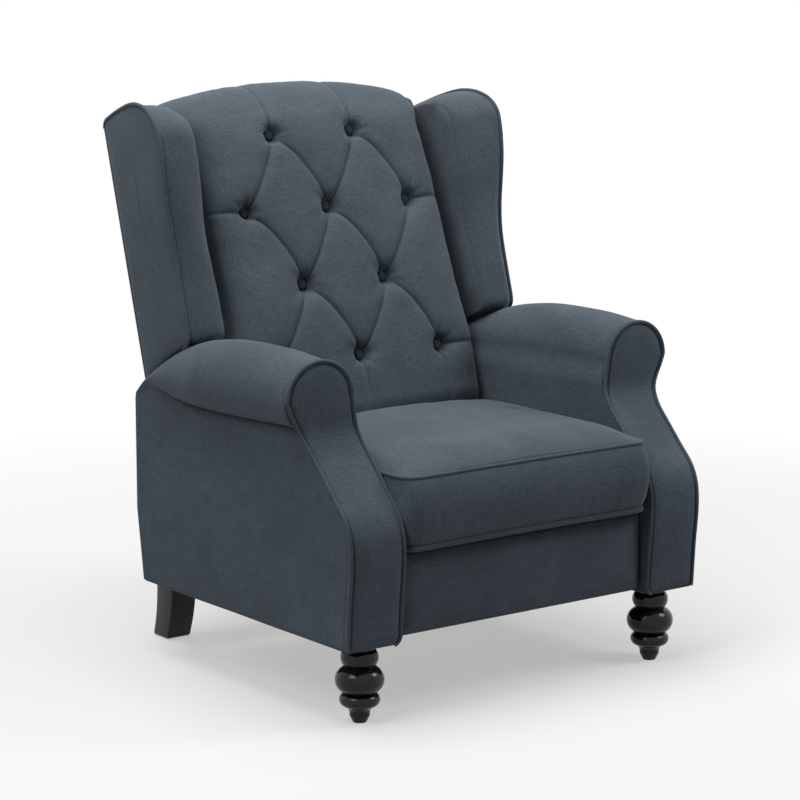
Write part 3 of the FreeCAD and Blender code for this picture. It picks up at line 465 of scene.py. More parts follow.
def ramp(tree, factor, stops):
    """Colours along a factor."""
    made = node(tree, "ShaderNodeValToRGB", in_Fac=factor)
    band = made.color_ramp
    while len(band.elements) < len(stops):
        band.elements.new(0.5)
    for element, (place, color) in zip(band.elements, stops):
        element.position = place
        element.color = (*color, 1)
    return made.outputs["Color"]


def bump(tree, shader, height, strength, distance):
    """Raises the surface by a height."""
    made = node(tree, "ShaderNodeBump", in_Height=height, in_Strength=strength, in_Distance=distance)
    feed(tree, shader, "Normal", made.outputs["Normal"])


def tinted(tree, shader, factor, color, stops):
    """Base colour along a factor, as places and shares of one colour."""
    shades = [(place, tuple(np.minimum(np.array(color) * share, 1))) for place, share in stops]
    feed(tree, shader, "Base Color", ramp(tree, factor, shades))


def roughened(tree, shader, factor, spread, least):
    """Roughness along a factor."""
    rough = maths(tree, "ADD", maths(tree, "MULTIPLY", factor, spread), least)
    feed(tree, shader, "Roughness", rough)


def linen(name, shade):
    """Linen-look weave: slubs along and across, a fine grain, slow uneven dye and a soft nap."""
    base = np.array((0.078, 0.100, 0.120)) * shade
    made, tree, shader = material(name, base, 0.92, specular=0.18)
    feed(tree, shader, "Sheen Weight", 0.18)
    feed(tree, shader, "Sheen Roughness", 0.45)
    feed(tree, shader, "Sheen Tint", (0.72, 0.80, 0.88, 1))
    along_x = stretched_noise(tree, (48, 520, 520))
    along_y = stretched_noise(tree, (520, 48, 520))
    along_z = stretched_noise(tree, (520, 520, 48))
    threads = maths(tree, "ADD", maths(tree, "ADD", along_x, along_y), along_z)
    threads = maths(tree, "MULTIPLY", threads, 1 / 3)
    dye = stretched_noise(tree, (9, 9, 9), detail=2.0)
    mixed = maths(tree, "ADD", maths(tree, "MULTIPLY", threads, 0.82), maths(tree, "MULTIPLY", dye, 0.18))
    tinted(tree, shader, mixed, base, ((0.36, 0.6), (0.5, 1), (0.64, 1.5)))
    roughened(tree, shader, threads, 0.25, 0.78)
    weave = node(tree, "ShaderNodeTexWave", wave_type="BANDS", bands_direction="DIAGONAL",
                 in_Vector=own_place(tree), in_Scale=190.0, in_Distortion=0.6)
    height = maths(tree, "ADD", threads, maths(tree, "MULTIPLY", weave.outputs["Fac"], 0.22))
    bump(tree, shader, height, 0.55, 0.0008)
    return made


def plain_cloth(name, color, across):
    """Thin cloth or webbing with a visible rib."""
    made, tree, shader = material(name, color, 0.9, specular=0.2)
    ribs = stretched_noise(tree, across, detail=2.0)
    tinted(tree, shader, ribs, color, ((0.3, 0.6), (0.7, 1.4)))
    bump(tree, shader, ribs, 0.4, 0.0006)
    return made


def raw_wood(name, color):
    """Sawn plywood with grain along the board."""
    made, tree, shader = material(name, color, 0.75, specular=0.3)
    grain = stretched_noise(tree, (60, 9, 60), detail=5.0, roughness=0.65)
    tinted(tree, shader, grain, color, ((0.32, 0.62), (0.5, 0.92), (0.68, 1.15)))
    roughened(tree, shader, grain, 0.3, 0.55)
    bump(tree, shader, grain, 0.25, 0.0008)
    return made


def lacquer(name, color):
    """Glossy black-brown lacquer, with faint grain under it and dull wear."""
    made, tree, shader = material(name, color, 0.16, specular=0.22)
    feed(tree, shader, "Coat Weight", 0.12)
    feed(tree, shader, "Coat Roughness", 0.08)
    grain = stretched_noise(tree, (70, 70, 12), detail=4.0)
    tinted(tree, shader, grain, color, ((0.35, 0.6), (0.65, 1.5)))
    roughened(tree, shader, stretched_noise(tree, (38, 38, 38)), 0.22, 0.07)
    bump(tree, shader, grain, 0.06, 0.0005)
    return made


def plated(name, color, metallic, roughness):
    """Plated or coated steel with rolling marks and handling wear."""
    made, tree, shader = material(name, color, roughness, metallic=metallic)
    marks = stretched_noise(tree, (900, 30, 900), detail=2.0)
    wear = stretched_noise(tree, (60, 60, 60), detail=4.0)
    both = maths(tree, "ADD", maths(tree, "MULTIPLY", marks, 0.5), maths(tree, "MULTIPLY", wear, 0.5))
    tinted(tree, shader, both, color, ((0.3, 0.78), (0.7, 1.15)))
    roughened(tree, shader, both, 0.35, roughness - 0.17)
    bump(tree, shader, marks, 0.08, 0.0003)
    return made


def moulded(name, color):
    """Moulded nylon, scuffed."""
    made, tree, shader = material(name, color, 0.5)
    scuffs = stretched_noise(tree, (300, 300, 300), detail=4.0)
    tinted(tree, shader, scuffs, color, ((0.3, 0.7), (0.7, 1.5)))
    roughened(tree, shader, scuffs, 0.4, 0.3)
    bump(tree, shader, scuffs, 0.2, 0.0004)
    return made


MATERIALS = {
    "upholstery": linen("cover_linen", 1.0),
    "piping": linen("piping_linen", 0.95),
    # The button copy is the cover linen darkened to 0.42: painted shade, standing in for the shadow of the
    # deep pockets the buttons sit in.
    "button": linen("button_linen_painted_shade", 0.42),
    "lining": plain_cloth("black_lining", (0.012, 0.012, 0.013), (700, 700, 700)),
    "webbing": plain_cloth("elastic_webbing", (0.16, 0.12, 0.08), (90, 90, 800)),
    "frame_wood": raw_wood("sawn_wood", (0.50, 0.34, 0.17)),
    "dark_lacquer": lacquer("black_brown_lacquer", (0.010, 0.007, 0.007)),
    "zinc_steel": plated("zinc_plated_steel", (0.62, 0.62, 0.60), 0.9, 0.38),
    "black_steel": plated("black_coated_steel", (0.035, 0.035, 0.038), 0.3, 0.42),
    "glide_plastic": moulded("dark_nylon", (0.03, 0.03, 0.03)),
}


def dress_frame():
    """Gives every CAD node the material of its slot."""
    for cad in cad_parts.values():
        for holder in cad.material_slots:
            known = [s for s in MATERIALS if holder.material and s in holder.material.name]
            holder.material = MATERIALS[known[0]] if known else MATERIALS["frame_wood"]


# Arms

def front_y(z):
    """Front edge of an arm at a height."""
    heights = (ARM_FOOT, 215, 288, 357, 390, 424, 457, 478, 505, 620)
    depths = (-385, -390, -396, -378, -346.6, -314.3, -283, -269, ROLL_FRONT, ROLL_FRONT)
    return smooth(heights, depths, z)


def arm_rear(z):
    """Rear end of an arm at a height, drawn in towards its foot."""
    up = np.minimum(z, ARM_TUCK_Z)
    return ARM_TUCK + (ARM_REAR - ARM_TUCK) * (up - ARM_FOOT) / (ARM_TUCK_Z - ARM_FOOT)


def facing_side(z, outer):
    """Edge of the arm's facing at a height, below the middle of its round head."""
    if outer:
        heights = (ARM_FOOT, 300, 432, 456, 478, 500, 520, ROLL_WIDEST)
        edges = (ARM_OUTER, ARM_OUTER, ARM_OUTER, 382, 387.5, 397, 406.5, ROLL_OUTER)
    else:
        heights = (ARM_FOOT, 300, 440, 480, 510, ROLL_WIDEST)
        edges = (ARM_INNER, ARM_INNER, ARM_INNER, 274, 277.5, ROLL_INNER)
    return smooth(heights, edges, z)


def facing_outline(count):
    """Keyhole outline of an arm's front, as x and z."""
    up = np.linspace(ARM_FOOT + FACING_CORNER, ROLL_WIDEST, 120)
    down = up[::-1]
    corner = quarter(8)
    turn = np.linspace(math.pi, 0, 90)
    top = ROLL_TOP - ROLL_WIDEST
    heel = FACING_HEEL * np.array([(0, 1), (0.0875, 0.375), (0.5, 0.0375), (1, 0)])
    line = [
        np.stack([ARM_INNER + FACING_CORNER * (1 - np.sin(corner)),
                  ARM_FOOT + FACING_CORNER * (1 - np.cos(corner))], axis=1),
        np.stack([facing_side(up, False), up], axis=1),
        np.stack([ROLL_MIDDLE + ROLL_HALF * np.cos(turn), ROLL_WIDEST + top * np.sin(turn)], axis=1)[1:-1],
        np.stack([facing_side(down, True), down], axis=1),
        np.stack([ARM_OUTER - heel[:, 0], ARM_FOOT + heel[:, 1]], axis=1),
    ]
    return even(np.vstack(line), count, closed=True)


def facing_edges(z):
    """Inner and outer edge of the facing at a height, from its rounded foot to its round head."""
    if z > ROLL_WIDEST:
        half = ROLL_HALF * math.sqrt(1 - ((z - ROLL_WIDEST) / (ROLL_TOP - ROLL_WIDEST)) ** 2)
        return ROLL_MIDDLE - half, ROLL_MIDDLE + half
    foot = max(0.0, 1 - (z - ARM_FOOT) / FACING_TOE)
    inner = facing_side(z, False) + FACING_TOE * (1 - math.sqrt(1 - foot ** 2))
    return inner, facing_side(z, True)


def facing_rise(x, z, edge):
    """Height of the facing over its flat back, edge being the distance from its rim."""
    rim = np.sqrt(1 - (1 - np.clip(edge / FACING_RIM, 0, 1)) ** 2)
    rise = FACING_DEPTH - 3.0 + (rim - 1) * 2.0 + FACING_PUFF * (1 - np.exp(-edge / 11.0))
    dip = 2.2 * np.exp(-((edge - 4.6) / 1.6) ** 2)
    spot = np.stack([x, np.full_like(x, z)], axis=1)
    return rise - dip + 0.35 * ripple(spot, 60.0, 41) * (1 - np.exp(-edge / 15.0))


def arm_facing():
    """Padded facing that follows the arm's front edge, in rows from its foot to its round head."""
    head = ROLL_TOP - ROLL_WIDEST
    foot = ARM_FOOT + np.array((0.0, 0.4, 1.2, 2.5, 4.5))
    straight = np.linspace(ARM_FOOT + 8, ROLL_WIDEST, 110)
    turn = quarter(40)[1:-1]
    across = np.sin(np.linspace(-1, 1, 81) * math.pi / 2)
    rings = []
    for z in np.concatenate([foot, straight, ROLL_WIDEST + (head - 1.0) * np.sin(turn)]):
        inner, outer = facing_edges(z)
        half = (outer - inner) / 2 - FACING_SLACK
        x = (inner + outer) / 2 + half * across
        edge = half * (1 - np.abs(across))
        if z > ROLL_WIDEST:
            edge = np.minimum(edge, head - FACING_SLACK - np.hypot(x - ROLL_MIDDLE, z - ROLL_WIDEST))
        edge = np.maximum(np.minimum(edge, (z - ARM_FOOT) * 1.2), 0)
        back = np.full_like(x, front_y(z) + FACING_DEPTH)
        front = back - facing_rise(x, z, edge)
        near = level(np.column_stack([x, front]), z)
        far = level(np.column_stack([x, back]), z)
        rings.append(np.concatenate([near, far[::-1]]))
    return shell(rings)


def arm_piping():
    """Piping up both sides of the facing and round its head, open under the foot."""
    outline = facing_outline(720)
    heel = (ARM_OUTER - FACING_HEEL / 2, ARM_FOOT)
    start = int(np.argmin(np.abs(outline - heel) @ (1, 3)))
    line = np.roll(outline, -start - 4, axis=0)
    low = (line[:, 1] < ARM_FOOT + 1.5) & (line[:, 0] > ARM_INNER + 12)
    line = even(line[~low], 560)
    path = np.stack([line[:, 0], front_y(line[:, 1]) + ARM_PIPING_SINK, line[:, 1]], axis=1)
    return tube(path, ARM_PIPING, (0, 1, 0.2))


def hem(z):
    """How far an arm's panel is rounded in at a height near its foot."""
    return ARM_HEM * (1 - np.sqrt(1 - np.clip(1 - (z - ARM_FOOT) / ARM_HEM, 0, 1) ** 2))


def arm_ring(y, part):
    """Section of an arm at a depth, from its inner foot over the roll to its outer foot, as x and z."""
    top = smooth((ROLL_FRONT, -150, 0, 80, 150, 210, 245, ARM_REAR),
                 (ROLL_TOP, 609, 603, 588, 562, 527, 502, 484), y)
    crease = smooth((ROLL_FRONT, -233, -137, 0, 60, 110, 178, 215, ARM_REAR),
                    (490, 490, 486, 482, 482, 485, 495, 492, 455), y)
    outer = smooth((ROLL_FRONT, 20, 80, 150, 205, ARM_REAR),
                   (ROLL_OUTER, ROLL_OUTER, 406, 396, 386, ARM_OUTER), y)
    inner = smooth((ROLL_FRONT, 0, 150, ARM_REAR), (ROLL_INNER, 280, 277, ARM_INNER), y)
    widest = crease + ROLL_SHARE * (top - crease)
    kind, s = part
    if kind == "inner":
        z = ARM_FOOT + (crease - ARM_FOOT) * s
        x = ARM_INNER + hem(z)
    elif kind == "neck":
        z = crease + (widest - crease) * s
        x = ARM_INNER + (inner - ARM_INNER) * ease(s)
    elif kind == "roll":
        turn = math.pi * (1 - s)
        z = widest + (top - widest) * np.sin(turn)
        x = (outer + inner) / 2 + (outer - inner) / 2 * np.cos(turn)
    elif kind == "under":
        turn = s * math.pi / 2
        fade = ease((outer - ARM_OUTER) / 12)
        z = widest - (widest - crease) * (np.sin(turn) * fade + s * (1 - fade))
        x = ARM_OUTER + (outer - ARM_OUTER) * (np.cos(turn) * fade + (1 - s) * (1 - fade))
    else:
        z = crease - (crease - ARM_FOOT) * s
        x = ARM_OUTER - hem(z)
    return x, z


def arm_parts():
    """Places round an arm's section: the stretch and the share along it."""
    stretches = {
        "inner": np.linspace(0, 1, 90),
        "neck": np.linspace(0, 1, 15)[1:],
        "roll": np.linspace(0, 1, 60)[1:-1],
        "under": np.linspace(0, 1, 15)[:-1],
        "outer": np.append(np.linspace(0, 0.06, 10)[:-1], np.linspace(0.06, 1, 84)),
    }
    return [(kind, s) for kind, shares in stretches.items() for s in shares]


def arm_line(part, steps):
    """Line along an arm from behind its facing to its rear, with the crease under the roll."""
    height = arm_ring(np.array(ARM_BEHIND_HEAD), part)[1]
    low = front_y(height) + FACING_DEPTH + FACING_GAP
    y = low + (arm_rear(height) - low) * steps
    x, z = arm_ring(y, part)
    kind, s = part
    if kind in ("inner", "outer"):
        z = np.where(y < ARM_BEHIND_HEAD, np.minimum(z, height), z)
    crease = 3.0 * ease((y + 262) / 10) * ease((150 - y) / 60)
    if kind == "under":
        x = x - crease * s ** 3
    elif kind == "outer":
        x = x - crease * math.exp(-s * 55)
    return np.stack([x, y, z], axis=1)


def rounded_rear(rings):
    """An arm's rings, stopped short of the rear and closed by a rounded end."""
    last = rings[-1].copy()
    closing = []
    for turn in quarter(6)[1:]:
        flat = inward(last[:, [0, 2]], ARM_END * (1 - math.cos(turn)))
        depth = last[:, 1] - ARM_END * (1 - math.sin(turn))
        closing.append(np.stack([flat[:, 0], depth, flat[:, 1]], axis=1))
    rings[-1, :, 1] -= ARM_END
    limit = rings[-1:, :, 1]
    rings[:-1, :, 1] = np.where(rings[:-1, :, 1] < limit, rings[:-1, :, 1], limit - 0.5)
    return np.concatenate([rings, closing])


def arm_body():
    """Arm: straight panels below, and a roll that overhangs the outer one and runs out behind."""
    parts = arm_parts()
    steps = np.concatenate([np.linspace(0, 0.016, 8)[:-1], np.linspace(0.016, 1, 165)])
    rings = np.stack([arm_line(part, steps) for part in parts], axis=1)
    gone = rings[:, :, 1] - rings[:1, :, 1]
    groove = 1.6 * np.exp(-((gone - 3.0) / 2.0) ** 2)
    rings[:, :, 0] -= groove * np.sign(rings[:, :, 0] - (ARM_INNER + ARM_OUTER) / 2)
    outer = np.array([1.0 if kind == "outer" else 0.0 for kind, _ in parts])
    sway = ripple(rings[:, :, 1:], 210.0, 5) * 0.7
    rings[:, :, 0] += sway * outer * np.sin(math.pi * steps)[:, None]
    return shell(rounded_rear(rings), first="ladder", last="ladder")


# Back

def button_places():
    """Buttons as x and v: rows of two and of three in turn."""
    places = []
    for row in range(4):
        v = BUTTON_TOP_V - BUTTON_ROW * row
        shifts = (-1, 1) if row % 2 == 0 else (-2, 0, 2)
        places += [(shift * BUTTON_HALF, v) for shift in shifts]
    return places


def pleat_lines():
    """Pleats: start, end, and height of the valley's middle and of its end."""
    lines = []
    places = button_places()
    for x0, v0 in places:
        for x1, v1 in places:
            if abs(abs(x1 - x0) - BUTTON_HALF) < 1 and abs(v0 - v1 - BUTTON_ROW) < 1:
                lines.append((x0, v0, x1, v1, 0.73, 0.0))
        if abs(x0) > BUTTON_HALF + 1:
            lines.append((x0, v0, math.copysign(BACK_HALF + 40, x0), v0, 0.60, 0.6))
        if v0 > BUTTON_TOP_V - 1:
            lines.append((x0, v0, x0, v0 + 175, 0.70, 0.6))
        if v0 < BUTTON_TOP_V - 2.5 * BUTTON_ROW:
            lines.append((x0, v0, x0, v0 - 190, 0.66, 0.6))
    return lines


def tuft_shape(x, v):
    """Share of the full pillow height over the inner back, and how near each place is to a pleat."""
    height = np.ones_like(x)
    crease = np.zeros_like(x)
    for x0, v0, x1, v1, middle, end in pleat_lines():
        run = np.array([x1 - x0, v1 - v0])
        length = np.linalg.norm(run)
        run = run / length
        t = (x - x0) * run[0] + (v - v0) * run[1]
        off = (x - x0) * run[1] - (v - v0) * run[0]
        share = np.clip(t / length, 0, 1)
        if end == 0:
            off = off + 4 * share * (1 - share) * (PLEAT_BOW if run[0] > 0 else PLEAT_BOW_SMALL)
        near = np.clip(t, 0, length)
        if end == 0:
            near = np.minimum(near, length - near)
        beyond = np.maximum(0, np.maximum(-t, t - length))
        floor = middle * (1 - np.exp(-near / POCKET_REACH))
        floor = floor + (1 - middle) * end * ease(share * 1.1)
        distance = np.sqrt(off ** 2 + (2.2 * beyond) ** 2)
        soft = 1 - np.exp(-distance / 7.5)
        wide = np.sqrt(1 - (1 - np.clip(distance / 68.0, 0, 1)) ** 2.3)
        height = height * (floor + (1 - floor) * (0.5 * soft + 0.5 * wide))
        thin = np.exp(-(off / 2.6) ** 2) * np.exp(-beyond / 2.0) * (1 - 0.75 * end * ease(share * 1.3))
        crease = np.maximum(crease, thin)
    return height, crease


def button_plane(v):
    """How far forward the buttons sit at a place up the back."""
    return BUTTON_PLANE_W + (BUTTON_TOP_V - v) * BUTTON_PLANE_SLOPE


def back_profiles():
    """Middle and side of the inner back as w and v, its height laid flat, and its fade at the top."""
    middle = ((138, 74), (181, 128), (194, 170), (192, 316), (179, 464), (165, 600),
              (146, 710), (108, 764), (78, 781), (46, 786), (20, 784), (9, 779))
    side = ((112, 74), (148, 128), (156, 170), (160, 316), (147, 464), (133, 600),
            (104, 700), (76, 735), (54, 748), (36, 752), (18, 752), (9, 749))
    run = lengths(middle)
    at = np.linspace(0, run[-1], int(run[-1] / FINE))
    middle_line = smooth(run, middle, at)
    side_line = smooth(run, side, at)
    below = int(len(at) * 0.8)
    rise = np.interp(BUTTON_TOP_V, middle_line[:below, 1], at[:below])
    flat_v = np.where(at > rise, BUTTON_TOP_V + at - rise, middle_line[:, 1])
    end_fade = 1 - ease((at - run[-3]) / 40) * 0.85
    return middle_line, side_line, flat_v, end_fade


def back_face(middle_line, side_line):
    """Untufted front of the inner back: its points, its normals and how far each is round its side."""
    u = np.linspace(-1, 1, int(2 * BACK_HALF / FINE))
    side_v = side_line[:, 1:2]
    half = BACK_HALF_LOW - 11 * ease((side_v - 250) / 120) + 24 * ease((side_v - 665) / 80)
    x = u[None, :] * half
    off = np.abs(x)
    round_share = np.clip((off - (half - SIDE_ROLL)) / SIDE_ROLL, 0, 1)
    full = np.sqrt(1 - round_share ** 2.3)
    arch = 1 - (off / half) ** 2.2
    w = side_line[:, 0:1] + (middle_line[:, 0:1] - side_line[:, 0:1]) * full
    v = side_v + (middle_line[:, 1:2] - side_v) * arch
    v = v - 6 * ease((side_v - 640) / 100) * np.clip((off - 235) / 42, 0, 1) ** 2
    face = np.stack([x, w, v], axis=-1)
    normal = np.cross(np.gradient(face, axis=1), np.gradient(face, axis=0))
    normal /= np.linalg.norm(normal, axis=-1)[..., None]
    normal *= np.sign(normal[len(half) // 2, len(u) // 2, 1])
    return face, normal, round_share


def pocket(x, v, number, place, depth):
    """Sink round one button: its pocket, its gathers and the fan of folds above it."""
    r = np.hypot(x - place[0], v - place[1])
    angle = np.arctan2(v - place[1], x - place[0])
    wave = np.sin(angle * 7 + number) + 0.6 * np.sin(angle * 11 + 2.1 * number)
    fan = np.exp(-((angle - math.pi / 2) / 0.62) ** 2) * np.exp(-((r - 27) / 15) ** 2)
    sink = depth * 0.92 * np.exp(-(r / 15.5) ** 4)
    sink += 0.6 * wave * np.exp(-((r - 20) / 11) ** 2)
    sink += 1.1 * np.sin(angle * 21 + 1.7 * number) * fan
    return sink + 2.5 * np.exp(-(r / 12) ** 4)


def back_sink(x, w, flat_v, round_share, end_fade):
    """How far the tufting draws the front of the inner back in."""
    height, crease = tuft_shape(x, flat_v)
    depth = np.where(flat_v < BUTTON_TOP_V, np.maximum(w - button_plane(flat_v), 0), PILLOW_RISE)
    depth = np.minimum(depth, PILLOW_RISE + 6)
    edge_fade = np.sqrt(np.clip(1 - round_share ** 3, 0, 1))
    fade = end_fade[:, None] * ease((flat_v - 80) / 90)
    proud = PILLOW_PROUD * ease((760 - flat_v) / 90)
    sink = (depth + proud) * (1 - height) * (0.25 + 0.75 * edge_fade) * fade
    sink += 1.8 * crease * (0.3 + 0.7 * edge_fade) * fade
    sink -= proud * edge_fade * fade
    for number, place in enumerate(button_places()):
        sink += pocket(x, flat_v, number, place, (depth + PILLOW_PROUD) * height)
    grid = np.stack([x, flat_v], axis=-1)
    return sink + 0.5 * ripple(grid, 70.0, 11) * height + 0.25 * ripple(grid, 28.0, 12) * height


def back_loops(rings):
    """Rings of the front, carried on down the rear and under the foot."""
    count = len(rings)
    rear = np.empty((count, 60, 3))
    rear[:, :, 2] = BACK_LOW + (rings[:, -1:, 2] - BACK_LOW - 6) * np.linspace(1, 0, 60)
    rear[:, :, 1] = BACK_REAR
    half = np.where(rear[:, :, 2] < SHOULDER_V - 22, BACK_HALF_LOW, BACK_HALF - 1)
    rear[:, :, 0] = np.linspace(-1, 1, count)[:, None] * half
    foot = np.empty((count, 20, 3))
    share = np.linspace(0.05, 0.95, 20)
    foot[:, :, 0] = rear[:, -1:, 0]
    foot[:, :, 1] = BACK_REAR + (rings[:, :1, 1] - BACK_REAR) * share
    foot[:, :, 2] = BACK_LOW + (rings[:, :1, 2] - BACK_LOW) * share
    return np.concatenate([rings, rear, foot], axis=1)


def inner_back():
    """Tufted inner back: pillows between deep pleats, a rolled top and a gap to the wings."""
    middle_line, side_line, flat_v, end_fade = back_profiles()
    face, normal, round_share = back_face(middle_line, side_line)
    flat_v = np.broadcast_to(flat_v[:, None], round_share.shape)
    sink = back_sink(face[..., 0], face[..., 1], flat_v, round_share, end_fade)
    loops = back_loops(np.swapaxes(face - normal * sink[..., None], 0, 1))
    return shell(leaning(loops[..., 0], loops[..., 1], loops[..., 2]), first="fan", last="fan")


def covered_buttons():
    """Domed buttons in the cover cloth, drawn down into the pleats."""
    profile = ((0.80, -4.0), (0.94, -2.5), (1.0, 0.0), (0.99, 1.6), (0.93, 3.4),
               (0.80, 4.8), (0.60, 5.8), (0.36, 6.3), (0.12, 6.4))
    turn = np.arange(40) * 2 * math.pi / 40
    parts = []
    for number, (bx, bv) in enumerate(button_places()):
        rings = []
        for share, height in profile:
            r = BUTTON_RADIUS * share * (1 + 0.012 * np.sin(9 * turn + number) * (share > 0.9))
            rings.append(leaning(bx + r * np.cos(turn), button_plane(bv) + height, bv + r * np.sin(turn)))
        parts.append(shell(rings))
    return merged(parts)


def wing_line(low_w, high_w, crest_w, top, waist=0.0):
    """Side outline of a wing as w and v, from the rear foot forwards, up and back."""
    turn = quarter(9)
    crown = np.column_stack([crest_w + (high_w - crest_w) * np.cos(turn),
                             WING_CROWN + (top - WING_CROWN) * np.sin(turn)])
    rise = high_w - low_w
    front = ((low_w, 330), (low_w, 380), (low_w + 0.03 * rise, 440), (low_w + 0.22 * rise, 505),
             (low_w + 0.56 * rise, 565), (low_w + 0.85 * rise, 612), (low_w + 0.98 * rise, 645))
    toe = low_w - 22
    foot = ((6, WING_FOOT), (38, 275), (72, 288), (130, 301), (toe, 306), (toe + 12, 309),
            (toe + 19, 316), (low_w, 330))
    front = flowing(np.vstack([front, crown]), FRONT_COUNT)
    front[:, 0] -= waist * np.exp(-((front[:, 1] - 490) / 75) ** 2)
    back = np.linspace(0, 1, EDGE_COUNT)
    corner = ((20, top - 6), (12, top - 9), (7.5, top - 15), (6, top - 26))
    parts = [
        flowing(foot, FOOT_COUNT),
        front,
        np.column_stack([crest_w + (20 - crest_w) * back, top - 6 * back ** 2.2]),
        flowing(corner, CORNER_COUNT),
        np.column_stack([np.full(EDGE_COUNT, 6.0), np.linspace(top - 26, WING_FOOT, EDGE_COUNT)]),
    ]
    return np.vstack([part[:-1] for part in parts])


def wing_edge(lift):
    """Outline of a wing's outside panel, which its piping follows."""
    return wing_line(WING_LOW_W, WING_HIGH_W, WING_CREST_W, WING_TOP + lift)


def wing_side(line):
    """Outside of a wing, flared forwards."""
    return WING_OUTER + WING_FLARE * line[:, 0]


def splay(x, w, v):
    """Shift of a wing's outside: in below the brow and out above it."""
    lean = -0.036 + 0.062 * ease((v - 440) / 160)
    return w * lean * np.clip((x - WING_INNER) / 45, 0, 1)


def wing_outside(outer):
    """Rings of a wing's outside panel, from its middle to the seam."""
    hearts = nearest(outer, *WING_SPINE)
    rings = []
    for share in np.append(np.linspace(0.04, 0.92, 12), (0.96, 0.985)):
        line = hearts + (outer - hearts) * share
        gone = np.linalg.norm(outer - hearts, axis=1) * (1 - share)
        bulge = 2.5 * (1 - np.exp(-gone / 14)) - 2.0 * np.exp(-gone / 3)
        rings.append((wing_side(line) + bulge, line[:, 0], line[:, 1]))
    return rings


def wing_front(outer, nose, inner):
    """Rings from the seam over the full nose to the edge of the inner face."""
    outer_x = wing_side(outer)
    inner_x = WING_INNER - 2.0
    rings = []
    for step in range(13):
        turn = step / 12 * math.pi / 2
        line = outer + (nose - outer) * math.sin(turn) ** 2.4
        seam = 1.5 + 1.5 * math.exp(-step / 1.3)
        x = outer_x - seam + (WING_NOSE - outer_x) * (1 - math.cos(turn)) ** 0.8
        rings.append((x, line[:, 0], line[:, 1]))
    for turn in quarter(13)[1:]:
        line = nose + (inner - nose) * (1 - math.cos(turn)) ** 0.8
        x = WING_NOSE + (inner_x - WING_NOSE) * math.sin(turn) ** 1.15
        rings.append((x, line[:, 0], line[:, 1]))
    return rings


def wing_inside(inner):
    """Rings of a wing's padded inner face, from its edge to its middle."""
    hearts = nearest(inner, *WING_SPINE)
    rings = []
    for step in range(1, 29):
        share = 1 - 0.96 * step / 28
        line = hearts + (inner - hearts) * share
        reach = ease((line[:, 0] - 142) / 36)
        bulge = 8.0 * reach * ease((line[:, 1] - 300) / 60) * ease((745 - line[:, 1]) / 60)
        bulge = 2.0 + bulge * (1 - (share - 0.04) ** 6)
        rings.append((WING_INNER - bulge, line[:, 0], line[:, 1]))
    return rings


def wing(lift):
    """Wing: flat outside panel, a full nose and a padded inner face."""
    outer = wing_edge(lift)
    nose = wing_line(216, 230, 118, WING_TOP - 4 + lift)
    inner = wing_line(WING_LOW_W, 192, 104, WING_TOP - 22 + lift, waist=17)
    rings = wing_outside(outer) + wing_front(outer, nose, inner) + wing_inside(inner)
    return shell([leaning(x + splay(x, w, v), w, v) for x, w, v in rings])


def wing_piping(lift):
    """Piping on the front and top edges of the wing's outside, its foot drawn in."""
    first = FOOT_COUNT - 19
    last = FOOT_COUNT + FRONT_COUNT + EDGE_COUNT + CORNER_COUNT - 6
    line = inward(wing_edge(lift), -WING_PIPING_OUT)[first:last]
    x = wing_side(line) - 1.0
    x = x + splay(x, line[:, 0], line[:, 1])
    x[:12] -= np.linspace(4, 0, 12)
    path = even(np.column_stack([x, line]), 380)
    return tube(leaning(path[:, 0], path[:, 1], path[:, 2]), WING_PIPING, (1, 0, 0))


def rear_cover():
    """Covered panel behind the back, pulled tight over its edges."""
    half = WING_OUTER
    top = [(half, 735), (half - 5, 747), (half - 17, 752), (175, 755)]
    side = [(BACK_HALF_LOW, 6), (BACK_HALF_LOW, 261), (half, 263)] + top
    other = [(-x, v) for x, v in reversed(side)]
    outline = even(other[-1:] + side + [(0, 756.5)] + other[:-1], 640, closed=True)

    def place(line, height):
        return leaning(line[:, 0], REAR_COVER_DEPTH - height, line[:, 1])

    return plate(outline, ((-150.0, 380.0), (150.0, 380.0)), REAR_COVER_DEPTH, 3.0, 2.0, place, steps=20)


# Seat

def seat_outline(count):
    """Seam of the cushion as x and y, its long edges drawn in between the corners."""
    out = even(rounded_box(SEAT_HALF, SEAT_FRONT, SEAT_REAR, SEAT_CORNER, 14), count, closed=True)
    x = out[:, 0]
    y = out[:, 1]
    middle = (SEAT_FRONT + SEAT_REAR) / 2
    pull = 4 * np.cos(np.clip(x / (SEAT_HALF - SEAT_CORNER), -1, 1) * math.pi / 2)
    end = np.abs(y - middle) > (SEAT_REAR - SEAT_FRONT) / 2 - 1.5
    y = y - np.where(end, np.sign(y - middle) * pull, 0)
    return np.stack([x, y], axis=1)


def crown_share(d, reach):
    """Rise of the cushion's crown at a distance from its seam."""
    return (1 - (1 - np.clip(d / reach, 0, 1)) ** 2.6) ** 0.8


def seat_rise(line):
    """Height of the cushion's top over its upper seam."""
    side = SEAT_HALF - np.abs(line[:, 0])
    front = line[:, 1] - SEAT_FRONT
    rear = SEAT_REAR - line[:, 1]
    dome = SEAT_CROWN - SEAT_CROWN_FALL * (line[:, 0] / SEAT_HALF) ** 2
    rise = dome * crown_share(side, 64) * crown_share(front, 112) * crown_share(rear, 84)
    uneven = ripple(line, 90.0, 23) * 0.9 * crown_share(np.minimum(side, front), 132)
    return np.maximum(rise, 0) + uneven


